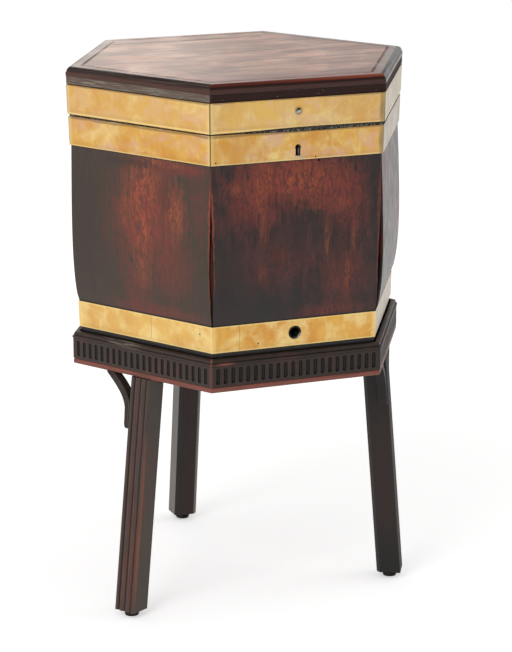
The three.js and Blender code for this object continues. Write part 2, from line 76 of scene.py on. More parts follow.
# Cuts across a brass strip, and steps up a bowed board
STRIP_CUTS = 17
BOW_STEPS = 24

# A corner of a strip belongs to its edge if their heights differ by less than this
EDGE_ROOM = 0.0009

# Seeds of the random wavering of the strips and of the broken stub
LID_SEED = 11
CASE_SEED = 41
STUB_SEED = 3

# Places of the pins along a strip, the same in its upper and its lower row
LID_PINS = (-0.098, -0.05, 0.002, 0.052, 0.099)
CASE_PINS = (-0.096, -0.049, 0.001, 0.051, 0.097)
FOOT_PINS = (-0.09, -0.045, 0.03, 0.088)

# Small holes, by their place along their side and their height
CASE_NAILS = ((0.0236, 0.5966), (-0.107, 0.5975))
FRONT_FOOT_NAIL = (-0.0488, 0.3653)
SIDE_FOOT_NAIL = (0.0902, 0.3799)
WORM_HOLE = (0.0287, 0.5914)

# Where along their sides the foot band's lap and its split start
LAP_START = -0.0738
SPLIT_START = 0.0112

# Half widths of a leg's reeds as shares of the half width of the leg
REED_SHARES = (0.2, 0.3, 0.3, 0.2)

# Outline of a bracket as shares of its reach and its drop: the guides of its outer curve,
# the corners of its tail and the guides of its inner curve
BRACKET_OUTER = ((1, 0), (0.62, 0.2), (0.27, 0.34), (0.18, 0.58))
BRACKET_TAIL = ((0.16, 0.89), (0.14, 0.93), (0.1, 0.955), (0, 0.955))
BRACKET_INNER = ((0, 0.5), (0.05, 0.33), (0.35, 0.16), (0.7, 0))

# Outline of a glide from its foot up, as shares of its radius and its height
GLIDE_SHARES = (
    (0, 0), (0.8, 0), (0.93, 0.06), (1, 0.22), (1, 0.5),
    (0.95, 0.72), (0.84, 0.84), (0.72, 0.9), (0.7, 1), (0, 1),
)

# Where the lamps point, the colour of the one behind, and the camera's sensor and far limit
LAMP_AIM = Vector((0, 0, 0.4))
SHEEN_TINT = (1.0, 0.88, 0.78)
SENSOR_WIDTH = 36
FAR_LIMIT = 50


def screen(red, green, blue):
    """A colour as a screen shows it, 0 to 255, turned into a linear colour."""
    shares = [value / 255 for value in (red, green, blue)]
    linear = [s / 12.92 if s <= 0.04045 else ((s + 0.055) / 1.055) ** 2.4 for s in shares]
    return (*linear, 1.0)


def length(name, millimetres, description):
    return FloatProperty(
        name=name, description=description, default=millimetres / 1000,
        min=0, subtype="DISTANCE", unit="LENGTH",
    )


def share(name, default, description):
    return FloatProperty(name=name, description=description, default=default, min=0, max=1)


def amount(name, default, description):
    return FloatProperty(name=name, description=description, default=default)


def angle(name, degrees, description):
    return FloatProperty(
        name=name, description=description, default=math.radians(degrees),
        subtype="ANGLE", unit="ROTATION",
    )


def position(name, place, description):
    return FloatVectorProperty(
        name=name, description=description, default=place,
        size=3, subtype="TRANSLATION", unit="LENGTH",
    )


def colour(name, red, green, blue, description):
    return FloatVectorProperty(
        name=name, description=description, default=screen(red, green, blue),
        size=4, min=0, max=1, subtype="COLOR",
    )


class CellaretteSizes(bpy.types.PropertyGroup):
    """Sizes of the details that finish the pieces."""

    wood_softness: length("Wood edges", 0.5, "Width of the worn edges of the wood")
    brass_softness: length("Brass edges", 0.3, "Width of the rubbed edges of the brass")
    brass_waver: length("Brass waver", 0.12, "How far the strips waver from straight")
    eased_edge: length("Eased edge", 0.4, "Rounding of small moulded and turned edges")
    mitre_gap: length("Mitre gap", 0.3, "Gap between pieces that meet at a corner")
    clearance: length("Clearance", 0.3, "Gap round a piece that is let into another")
    overcut: length("Overcut", 10, "How far a cutter reaches past a face")
    ovolo_width: length("Ovolo width", 6.3, "Reach of the rounded edge of the lid's board")
    ovolo_height: length("Ovolo height", 6.4, "Height of the rounded edge of the lid's board")
    ovolo_fillet: length("Ovolo fillet", 1.1, "Step under the rounded edge")
    core_height: length("Core height", 9.8, "Height of the plain core under the moulded edge")
    core_setback: length("Core setback", 0.5, "Step from the moulded edge in to the core")
    bow_lowering: share("Bow lowering", 0.6, "Less than one moves the widest place of a wall down")
    crack_width: length("Crack width", 6.0, "Width of the open joint at the front left corner")
    crack_length: length("Crack length", 186, "Length of the open joint")
    crack_depth: length("Crack depth", 9, "How deep the open joint is")
    crack_height: length("Crack middle", 465, "Height of its middle above the floor")
    crack_right: share("Right crack", 0.74, "Size of the right corner's crack beside the left's")
    pin_radius: length("Pin radius", 1.0, "Radius of the brass pins in the bands")
    pin_proud: length("Pin height", 0.16, "How far a pin stands proud")
    pin_inset: length("Pin inset", 4.2, "Distance of the pins from the edges of the upper bands")
    foot_pin_inset: length("Foot pin inset", 4.0, "Distance of the pins from the foot band's edges")
    nail_radius: length("Nail hole", 1.0, "Radius of an empty nail hole")
    nail_depth: length("Nail depth", 4, "Depth of an empty nail hole")
    worm_radius: length("Worm hole", 1.4, "Radius of the hole under the keyhole")
    stud_hole: length("Stud hole", 2.1, "Radius of the stud's hole in its strip")
    stud_stem: length("Stud stem", 1.8, "Radius of the stud's stem")
    stud_head: length("Stud head", 1.3, "Height of the stud's head")
    keyhole_round: length("Keyhole round", 3.8, "Radius of the keyhole's round top")
    keyhole_slot: length("Keyhole slot", 6.4, "Width of the keyhole's slot")
    keyhole_height: length("Keyhole height", 14.3, "Height of the keyhole")
    keyhole_middle: length("Keyhole middle", 606.4, "Height of its middle above the floor")
    keyhole_skin: length("Keyhole skin", 1, "Wood left behind the keyhole at the top of the board")
    lock_room: length("Lock room", 2, "Room over the lock case for its bolt")
    foot_thickness: length("Foot band", 0.9, "Thickness of the foot band")
    lap_width: length("Lap width", 0.3, "Width of the line where the foot band laps")
    split_width: length("Split width", 0.4, "Width of the foot band's split")
    split_foot: length("Split foot", 3, "Height of the split's end over the band's lower edge")
    slit_depth: length("Slit depth", 0.4, "Depth of the lap's line and the split")
    slit_reach: length("Slit reach", 2, "How far their cutters reach before the band")
    slit_overrun: length("Slit overrun", 1, "How far their cutters reach past the band's edges")
    drain_wall: length("Drain wall", 2.0, "Thickness of the drain bush")
    # Size of the painted highlight on the drain bush
    drain_shine: length("Drain shine", 4, "Size of the rubbed place on the drain bush")
    flute_width: length("Flute width", 5.4, "Width of a flute in the rails")
    flute_pitch: length("Flute pitch", 10.0, "Distance from one flute to the next")
    flute_length: length("Flute length", 20.5, "Height of a flute")
    flute_rise: length("Flute rise", 3.4, "Plain strip under the flutes")
    flute_lip: length("Flute lip", 0.8, "Rounding of the flutes' edges")
    flute_proud: share("Flute centre", 0.04, "Share of its radius that a flute's centre stands proud")
    rim_top: length("Rim top", 3, "Flat top of the stand's rim")
    rim_bead: length("Rim bead", 3.1, "Height of the rim's bead")
    rim_quirk: length("Rim quirk", 0.9, "Groove over the rim's bead")
    bead_round: length("Bead round", 1.4, "Depth of the rounding of the bead under the rails")
    reed_relief: length("Reed relief", 2.9, "Depth of the reeds on a leg")
    leg_depth: length("Leg depth", 32, "Depth of a leg")
    leg_chamfer: length("Leg chamfer", 4.6, "Chamfer of a leg's inner corners")
    bracket_reach: length("Bracket reach", 42, "Reach of a bracket along the stand")
    bracket_drop: length("Bracket drop", 70.5, "Reach of a bracket down the leg")
    bracket_depth: length("Bracket depth", 12, "Thickness of a bracket")
    bracket_setback: length("Bracket setback", 1.5, "Step from a leg's face back to its brackets")
    bracket_margin: length("Bracket margin", 1.2, "Flat edge outside a bracket's groove")
    bracket_slope: length("Bracket slope", 0.5, "Width of each slope of a bracket's groove")
    bracket_groove: length("Bracket groove", 0.7, "Depth of a bracket's groove")
    bracket_bead: length("Bracket bead", 0.6, "Rise from the groove to a bracket's face")
    stub_depth: length("Stub depth", 26, "Thickness of the lost bracket's stub")
    stub_share: share("Stub size", 0.97, "Size of the stub beside its room")
    stub_waver: length("Stub waver", 0.3, "How far the stub's broken faces waver")
    stub_softness: length("Stub edges", 0.3, "Width of the stub's worn edges")


class CellaretteFinishes(bpy.types.PropertyGroup):
    """Colours and glosses of the finishes."""

    brass: colour("Brass", 216, 167, 80, "Aged brass")
    brass_pale: colour("Pale brass", 236, 210, 142, "Rubbed and bleached brass")
    brass_orange: colour("Orange brass", 200, 138, 58, "Warm patches of the brass")
    brass_pink: colour("Pinkish brass", 214, 170, 140, "Coppery clouds in the brass")
    # Dirt along the brass's edges, and the painted shadow round the lid's stud
    brass_dirt_and_shade: colour("Brass dirt", 92, 74, 48, "Dirt along the brass's edges")
    panel_brown: colour("Brown panel", 68, 53, 40, "Faded brown mahogany of the left side")
    panel_dark: colour("Dark panel", 44, 23, 20, "Darkened mahogany")
    panel_black: colour("Black panel", 28, 22, 21, "Blackened mahogany")
    panel_red: colour("Red panel", 134, 50, 37, "Red figure of the mahogany")
    panel_orange: colour("Orange panel", 182, 96, 52, "Worn, sunlit figure")
    top_light: colour("Light top", 216, 160, 130, "Faded top of the lid")
    top_dark: colour("Dark top", 112, 68, 56, "Dark grain of the lid")
    stand_wood: colour("Stand wood", 62, 50, 44, "Dark wood of the stand")
    # Reddish brown: rubbed wood, and painted light on the front left leg and painted shade at the front
    # of the lid's top
    worn_brown_and_shading: colour("Worn stand", 102, 66, 56, "Rubbed edges of the stand")
    bead_red: colour("Red bead", 142, 84, 72, "Reddish bead under the rails")
    # Near black: old dirt in pores and joints, and painted shade in the flutes, grooves, gaps and on
    # shaded faces
    dirt_and_shade: colour("Dirt", 14, 12, 11, "Old dirt in the hollows")
    # Pale grey: bare rubbed wood, and painted light: the reflection on the front right brass and the
    # back leg, and the lighter front left leg
    fibres_and_light: colour("Bare fibres", 176, 166, 150, "Rubbed grey fibres of the lid's edge")
    inner_wood: colour("Inner wood", 96, 64, 48, "Unpolished wood inside the lid")
    # Lead grey, also laid over the front right brass and the back leg as painted reflection
    lead: colour("Lead", 112, 116, 118, "Dull sheet metal of the lining")
    steel: colour("Steel", 176, 174, 168, "Steel of the lock and the stud")
    iron: colour("Iron", 52, 48, 44, "Dark iron of the glides")
    panel_gloss: share("Panel roughness", 0.34, "Roughness of the case's varnish")
    top_gloss: share("Top roughness", 0.3, "Roughness of the lid's polish")
    stand_gloss: share("Stand roughness", 0.46, "Roughness of the stand's varnish")
    brass_gloss: share("Brass roughness", 0.38, "Roughness of the brass")


class CellaretteStage(bpy.types.PropertyGroup):
    """Floor, lamps and camera."""

    camera_place: position("Camera", (-1.1780, -3.0147, 1.1910), "Place of the camera")
    camera_pitch: angle("Pitch", 14.87, "How far the camera looks down")
    camera_turn: angle("Turn", -21.86, "Which way the camera faces")
    camera_lens: FloatProperty(
        name="Lens", description="Focal length in millimetres", default=139.97, min=1,
    )
    floor_size: length("Floor", 60000, "Width of the floor")
    floor_white: colour("Floor colour", 236, 236, 236, "Colour of the floor")
    floor_glow: share("Floor glow", 0.46, "White added to the floor that the camera sees")
    room_light: share("Room light", 0.55, "Strength of the even light all round")
    room_front: share("Front of the room", 0.16, "How bright the room behind the camera is")
    room_top: share("Ceiling", 0.2, "How bright the ceiling looks in reflections")
    key_power: amount("Key lamp", 42, "Power of the large lamp on the left, in watts")
    key_width: length("Key width", 1900, "Width of the lamp on the left")
    key_place: position("Key place", (-2.6, -1.9, 2.6), "Place of the lamp on the left")
    fill_power: amount("Fill lamp", 17, "Power of the large lamp on the right, in watts")
    fill_width: length("Fill width", 2200, "Width of the lamp on the right")
    fill_place: position("Fill place", (2.9, -0.6, 2.2), "Place of the lamp on the right")
    sheen_power: amount("Sheen lamp", 5.5, "Power of the lamp behind, for the lid's sheen")
    sheen_width: length("Sheen width", 1300, "Width of the lamp behind")
    sheen_place: position("Sheen place", (0.45, 3.0, 1.35), "Place of the lamp behind")


# Modelling


def deselect():
    bpy.ops.object.select_all(action="DESELECT")


def pick(piece):
    deselect()
    piece.select_set(True)
    bpy.context.view_layer.objects.active = piece


def edit():
    bpy.ops.object.mode_set(mode="EDIT")
    bpy.ops.mesh.select_all(action="SELECT")


def leave():
    bpy.ops.object.mode_set(mode="OBJECT")


def edit_some(piece, kind, wanted):
    """Starts to edit a piece with only its wanted corners or faces selected."""
    pick(piece)
    edit()
    bpy.ops.mesh.select_all(action="DESELECT")
    leave()
    for part in getattr(piece.data, kind):
        part.select = wanted(part)
    bpy.ops.object.mode_set(mode="EDIT")


def named(piece, name):
    piece.name = piece.data.name = name
    return piece


def trace(name, points, close=True):
    """Draws a line corner by corner, each extruded from the one before, and stays in edit mode."""
    deselect()
    bpy.ops.mesh.primitive_plane_add(size=0.001)
    piece = named(bpy.context.active_object, name)
    edit()
    bpy.ops.mesh.merge(type="CENTER")
    bpy.ops.transform.translate(value=points[0])
    for start, end in zip(points, points[1:]):
        step = Vector(end) - Vector(start)
        bpy.ops.mesh.extrude_region_move(TRANSFORM_OT_translate={"value": step})
    bpy.ops.mesh.select_all(action="SELECT")
    if close:
        bpy.ops.mesh.edge_face_add()
    return piece


def close_up():
    """Merges corners that meet, turns the faces outwards and ends editing."""
    bpy.ops.mesh.select_all(action="SELECT")
    bpy.ops.mesh.remove_doubles(threshold=1e-6)
    bpy.ops.mesh.normals_make_consistent(inside=False)
    leave()


def spun(name, outline, steps=6, closed=True, axis=(0, 0, 1), centre=MIDDLE):
    """Spins a closed outline, or an open one that starts and ends on the axis."""
    piece = trace(name, outline, closed)
    if closed:
        bpy.ops.mesh.delete(type="ONLY_FACE")
        bpy.ops.mesh.select_all(action="SELECT")
    bpy.ops.mesh.spin(steps=steps, angle=2 * math.pi, center=centre, axis=axis, dupli=False)
    close_up()
    return piece


def hexagonal(name, section, closed=True):
    """Spins a section, given as distance out to the flat of a side and height, into six sides."""
    return spun(name, [(out / COS, MIDDLE.y, z) for out, z in section], 6, closed)


def cut_off(point, normal):
    """Cuts off what lies beyond a plane and closes the cut."""
    bpy.ops.mesh.select_all(action="SELECT")
    bpy.ops.mesh.bisect(plane_co=point, plane_no=normal, use_fill=True, clear_outer=True)


def mitred(name, section, gap, cuts=0):
    """A length of a section along the front side, cut at both ends to meet its neighbours."""
    half = 1.4 * max(out for out, z in section) * TAN
    piece = trace(name, [(-half, MIDDLE.y - out, z) for out, z in section])
    bpy.ops.mesh.extrude_region_move(TRANSFORM_OT_translate={"value": (2 * half, 0, 0)})
    for hand in (-1, 1):
        normal = Vector((hand * COS, SIN, 0))
        cut_off(MIDDLE - normal * gap / 2, normal)
    reach = max(out for out, z in section) * TAN
    for i in range(cuts):
        bpy.ops.mesh.select_all(action="SELECT")
        place = (reach * (2 * (i + 1) / (cuts + 1) - 1), 0, 0)
        bpy.ops.mesh.bisect(plane_co=place, plane_no=(1, 0, 0))
    close_up()
    return piece


def extruded(name, outline, step):
    """A flat outline extruded along a step."""
    piece = trace(name, outline)
    bpy.ops.mesh.extrude_region_move(TRANSFORM_OT_translate={"value": step})
    close_up()
    return piece


def block(name, low, high):
    """A plain box between two corners, used to cut others."""
    deselect()
    bpy.ops.mesh.primitive_cube_add(size=1, location=(Vector(low) + Vector(high)) / 2)
    piece = named(bpy.context.active_object, name)
    piece.scale = Vector(high) - Vector(low)
    settle(piece)
    return piece


def settle(piece):
    """Moves a piece's place and turn into its mesh."""
    pick(piece)
    bpy.ops.object.transform_apply(location=True, rotation=True, scale=True)


def modify(piece, kind, **settings):
    pick(piece)
    bpy.ops.object.modifier_add(type=kind)
    modifier = piece.modifiers[-1]
    for key, value in settings.items():
        setattr(modifier, key, value)
    bpy.ops.object.modifier_apply(modifier=modifier.name)


def carve(piece, *cutters):
    """Cuts other pieces out of this one and throws them away."""
    for cutter in cutters:
        modify(piece, "BOOLEAN", object=cutter, operation="DIFFERENCE", solver="EXACT")
        bpy.data.objects.remove(cutter)


def soften(piece, width, segments=2, limit=28):
    modify(
        piece, "BEVEL", width=width, segments=segments, limit_method="ANGLE",
        angle_limit=math.radians(limit), use_clamp_overlap=True,
    )
    smooth(piece)


def smooth(piece, limit=40):
    pick(piece)
    bpy.ops.object.shade_smooth_by_angle(angle=math.radians(limit))
    modify(piece, "WEIGHTED_NORMAL", keep_sharp=True)


def roughen(piece, offset, seed):
    """Moves each corner a little at random, as hand work and wear do."""
    pick(piece)
    edit()
    bpy.ops.transform.vertex_random(offset=offset, seed=seed)
    leave()


def copied(piece, name):
    pick(piece)
    bpy.ops.object.duplicate()
    return named(bpy.context.active_object, name)


def turned(piece, side):
    """Turns a piece made for the front side to stand on another side."""
    turn = Matrix.Rotation(TURN * SIDES.index(side), 4, "Z")
    piece.matrix_world = Matrix.Translation(MIDDLE) @ turn @ Matrix.Translation(-MIDDLE)
    settle(piece)
    return piece


def joined(pieces, name):
    deselect()
    for piece in pieces:
        piece.select_set(True)
    bpy.context.view_layer.objects.active = pieces[0]
    bpy.ops.object.join()
    return named(pieces[0], name)


def arc(middle, radii, start, end, steps):
    """Points of an elliptic arc in a section."""
    points = []
    for i in range(steps + 1):
        turn = math.radians(start + (end - start) * i / steps)
        across = radii[0] * math.cos(turn)
        up = radii[1] * math.sin(turn)
        points.append((middle[0] + across, middle[1] + up))
    return points


def curve_by(guides, steps):
    """Points of a cubic curve, given by its start, its two handles and its end."""
    points = []
    for i in range(steps + 1):
        t = i / steps
        weights = ((1 - t) ** 3, 3 * (1 - t) ** 2 * t, 3 * (1 - t) * t * t, t ** 3)
        points.append(tuple(sum(w * p[k] for w, p in zip(weights, guides)) for k in (0, 1)))
    return points


def section_of(node):
    """Foot and top of a strip of the front side, as its inner and outer distances out."""
    points = [(MIDDLE.y - v.co.y, v.co.z) for v in NODES[node].data.vertices]
    low = min(z for out, z in points)
    high = max(z for out, z in points)
    foot = [out for out, z in points if z < low + TOUCH]
    top = [out for out, z in points if z > high - TOUCH]
    return [(min(foot), low), (max(foot), low), (max(top), high), (min(top), high)]


def fronted(node, side):
    """A CAD node's corners about the middle, turned from their side to the front."""
    turn = Matrix.Rotation(-TURN * SIDES.index(side), 4, "Z")
    return [turn @ (v.co - MIDDLE) for v in NODES[node].data.vertices]


def ring_inner(node):
    """Distance from the middle to the inner faces of a ring round the stand."""
    corners = [v.co for v in NODES[node].data.vertices if abs(v.co.x) < CORNER_REACH]
    return min(abs(corner.y - MIDDLE.y) for corner in corners)


def outer_at(section, z):
    """Distance out of a strip's outer face at a height."""
    (_, low), (foot, _), (top, high), _ = section
    return foot + (top - foot) * (z - low) / (high - low)


def place(piece, body, slot, material, *nodes):
    """Gives a finished piece its material and its body, and hides the CAD nodes it stands for."""
    piece.data.materials.clear()
    piece.data.materials.append(material)
    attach(piece, body)
    if nodes:
        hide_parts(*nodes)


def dress(material, *nodes):
    """Gives CAD nodes that keep their own shape a finish."""
    for node in nodes:
        mesh = NODES[node].data
        mesh.materials.clear()
        mesh.materials.append(material)


# Painting


class Paint:
    """Puts nodes into a node tree, with short calls for the common ones."""

    def __init__(self, tree):
        self.tree = tree

    def feed(self, socket, value):
        if isinstance(value, bpy.types.NodeSocket):
            self.tree.links.new(value, socket)
        elif value is not None:
            socket.default_value = value

    def node(self, kind, *values, **settings):
        made = self.tree.nodes.new("ShaderNode" + kind)
        for key, value in settings.items():
            setattr(made, key, value)
        for socket, value in zip(made.inputs, values):
            self.feed(socket, value)
        return made

    def calc(self, operation, *values):
        return self.node("Math", *values, operation=operation).outputs[0]

    def plus(self, first, second):
        return self.calc("ADD", first, second)

    def minus(self, first, second):
        return self.calc("SUBTRACT", first, second)

    def times(self, first, second):
        return self.calc("MULTIPLY", first, second)

    def fade(self, value, start, end):
        """Nothing at the start, rising softly to one at the end."""
        made = self.node("MapRange", value, start, end, 0.0, 1.0, interpolation_type="SMOOTHSTEP")
        return made.outputs[0]

    def scaled(self, value, low, high):
        """A value between nothing and one, spread from low to high."""
        return self.node("MapRange", value, 0.0, 1.0, low, high).outputs[0]

    def mixed(self, part, first, second):
        """The first colour, turning into the second as the part rises to one."""
        made = self.tree.nodes.new("ShaderNodeMix")
        made.data_type = "RGBA"
        made.clamp_factor = True
        self.feed(made.inputs[0], part)
        self.feed(made.inputs[6], first)
        self.feed(made.inputs[7], second)
        return made.outputs[2]

    def tint(self, base, colour, part, strength=None):
        """Lays a colour over a base where the part is one, thinner with a strength below one."""
        if strength is not None:
            part = self.both(part, strength)
        return self.mixed(part, base, colour)

    def vector(self, x, y, z):
        return self.node("CombineXYZ", x, y, z).outputs[0]

    def noise(self, where, scale=1.0, detail=4.0, roughness=0.55, distortion=0.0):
        made = self.tree.nodes.new("ShaderNodeTexNoise")
        self.feed(made.inputs["Vector"], where)
        made.inputs["Scale"].default_value = scale
        made.inputs["Detail"].default_value = detail
        made.inputs["Roughness"].default_value = roughness
        made.inputs["Distortion"].default_value = distortion
        return made.outputs["Fac"]

    def cells(self, where, scale):
        made = self.tree.nodes.new("ShaderNodeTexVoronoi")
        self.feed(made.inputs["Vector"], where)
        made.inputs["Scale"].default_value = scale
        return made.outputs["Distance"]

    def here(self):
        return self.node("TexCoord").outputs["Object"]

    def sides(self):
        made = self.tree.nodes.new("ShaderNodeGroup")
        made.node_tree = side_group()
        return [made.outputs[name] for name in ("Along", "Out", "Height", "Side")]

    def bump(self, height, distance, strength=1.0, under=None):
        made = self.tree.nodes.new("ShaderNodeBump")
        made.inputs["Strength"].default_value = strength
        made.inputs["Distance"].default_value = distance
        self.feed(made.inputs["Height"], height)
        self.feed(made.inputs["Normal"], under)
        return made.outputs[0]

    def both(self, first, second):
        """Where both are one; a plain number weakens the other."""
        return self.calc("MULTIPLY", first, second)

    def either(self, first, second):
        return self.calc("MAXIMUM", first, second)

    def ovals(self, spot, places, fray):
        """One in any of some ovals, each with its middle and reach, with frayed edges."""
        whole = 0.0
        for middle, reach in places:
            whole = self.either(whole, self.patch(spot, middle, reach, fray))
        return whole

    def unless(self, value):
        return self.minus(1.0, value)

    def on_side(self, side, name):
        number = SIDES.index(name)
        return self.calc("COMPARE", side, float(number), 0.3)

    def patch(self, spot, middle, reach, fray):
        """One at the middle of an oval, fading out towards its frayed edge."""
        off = self.node("VectorMath", spot, (*middle, 0.0), operation="SUBTRACT").outputs[0]
        off = self.node("VectorMath", off, (*reach, 1.0), operation="DIVIDE").outputs[0]
        far = self.node("VectorMath", off, operation="LENGTH").outputs["Value"]
        return self.unless(self.fade(self.plus(far, fray), 0.2, 1.0))

    def centred(self, value, size):
        """A noise turned into a shift that goes both ways."""
        return self.both(self.minus(value, 0.5), size)

    def near(self, value, centre, width):
        """One at a centre, falling to nothing at a width from it."""
        off = self.calc("ABSOLUTE", self.minus(value, centre))
        return self.unless(self.fade(off, width * 0.35, width))

    def to_corner(self, along, out):
        """Distance along a side to its nearer corner."""
        return self.minus(self.times(out, TAN), self.calc("ABSOLUTE", along))


def side_group():
    """Group that tells a point's place on its side: along it, out from the middle and up."""
    name = "Place on a side"
    if name in bpy.data.node_groups:
        return bpy.data.node_groups[name]
    group = bpy.data.node_groups.new(name, "ShaderNodeTree")
    for label in ("Along", "Out", "Height", "Side"):
        group.interface.new_socket(label, in_out="OUTPUT", socket_type="NodeSocketFloat")
    paint = Paint(group)
    x, y, z = paint.node("SeparateXYZ", paint.here()).outputs
    y = paint.minus(y, MIDDLE.y)
    heading = paint.plus(paint.calc("ARCTAN2", y, x), math.pi / 2)
    sixth = paint.calc("ROUND", paint.calc("DIVIDE", heading, TURN))
    local = paint.minus(heading, paint.times(sixth, TURN))
    reach = paint.calc("SQRT", paint.plus(paint.times(x, x), paint.times(y, y)))
    out = group.nodes.new("NodeGroupOutput")
    group.links.new(paint.times(reach, paint.calc("SINE", local)), out.inputs["Along"])
    group.links.new(paint.times(reach, paint.calc("COSINE", local)), out.inputs["Out"])
    group.links.new(z, out.inputs["Height"])
    group.links.new(paint.calc("FLOORED_MODULO", sixth, 6.0), out.inputs["Side"])
    return group


def material(name, roughness=0.5, metal=0.0, specular=0.5, coat=0.0, coat_roughness=0.2):
    """A material with its plain values set, and what paints it."""
    made = bpy.data.materials.new(name)
    made.use_nodes = True
    shader = made.node_tree.nodes["Principled BSDF"]
    shader.inputs["Roughness"].default_value = roughness
    shader.inputs["Metallic"].default_value = metal
    shader.inputs["Specular IOR Level"].default_value = specular
    shader.inputs["Coat Weight"].default_value = coat
    shader.inputs["Coat Roughness"].default_value = coat_roughness
    return made, Paint(made.node_tree), shader


def coated(paint, shader, base, rough, normal):
    """Joins a shader with what paints its colour, its roughness and its fine relief."""
    paint.feed(shader.inputs["Base Color"], base)
    paint.feed(shader.inputs["Roughness"], rough)
    paint.feed(shader.inputs["Normal"], normal)


def known(name):
    """The material of a name, if it was made before."""
    return bpy.data.materials.get(name)


def grain(paint, across, deep, run, fine, slow):
    """A place stretched along the grain."""
    return paint.vector(
        paint.times(across, fine), paint.times(deep, fine),
        paint.times(run, slow),
    )


# Worn places of the case's boards: side, place along it and height in millimetres,
# reach each way in millimetres, strength
RED_PLACES = (
    ("front_left", 10, 522, 86, 100, 1.0), ("front_left", 52, 462, 50, 66, 0.6),
    ("front_left", -8, 428, 34, 56, 0.55), ("front_left", 24, 399, 110, 15, 0.7),
    ("front_left", 66, 584, 74, 15, 0.9), ("front_left", 96, 545, 26, 60, 0.35),
    ("front", 0, 572, 128, 60, 1.0), ("front", -62, 545, 60, 60, 0.75),
    ("front", 66, 540, 60, 66, 0.75), ("front", 62, 440, 56, 70, 0.45),
    ("front", 44, 400, 80, 14, 0.55), ("front", -20, 470, 70, 60, 0.35),
)
ORANGE_PLACES = (
    ("front_left", 6, 550, 46, 62, 1.0), ("front_left", 4, 500, 34, 52, 0.9),
    ("front_left", 57, 528, 25, 52, 0.95), ("front_left", -26, 520, 16, 40, 0.4),
    ("front_left", 4, 452, 24, 38, 0.6), ("front_left", 34, 588, 66, 7, 0.75),
    ("front", -47, 562, 15, 58, 1.0), ("front", -45, 515, 10, 44, 0.45),
    ("front", -78, 562, 30, 13, 0.5), ("front", 48, 536, 50, 16, 0.45),
    ("front", 41, 492, 8, 40, 0.55), ("front", 77, 494, 6, 34, 0.5),
    ("front", 68, 440, 7, 44, 0.5), ("front", -47, 455, 10, 22, 0.3),
    ("front", 4, 570, 90, 40, 0.75), ("front", -47, 560, 9, 46, 0.7),
)
DARK_PLACES = (
    ("front", -99, 548, 24, 26, 0.8), ("front", 101, 548, 20, 60, 0.75),
    ("front", 10, 496, 62, 34, 0.5), ("front", 84, 590, 40, 10, 0.5),
    ("front_left", -92, 500, 44, 130, 0.45), ("front_left", 40, 545, 12, 30, 0.5),
    ("front_left", -8, 584, 60, 8, 0.7), ("front", -10, 412, 130, 34, 0.4),
)


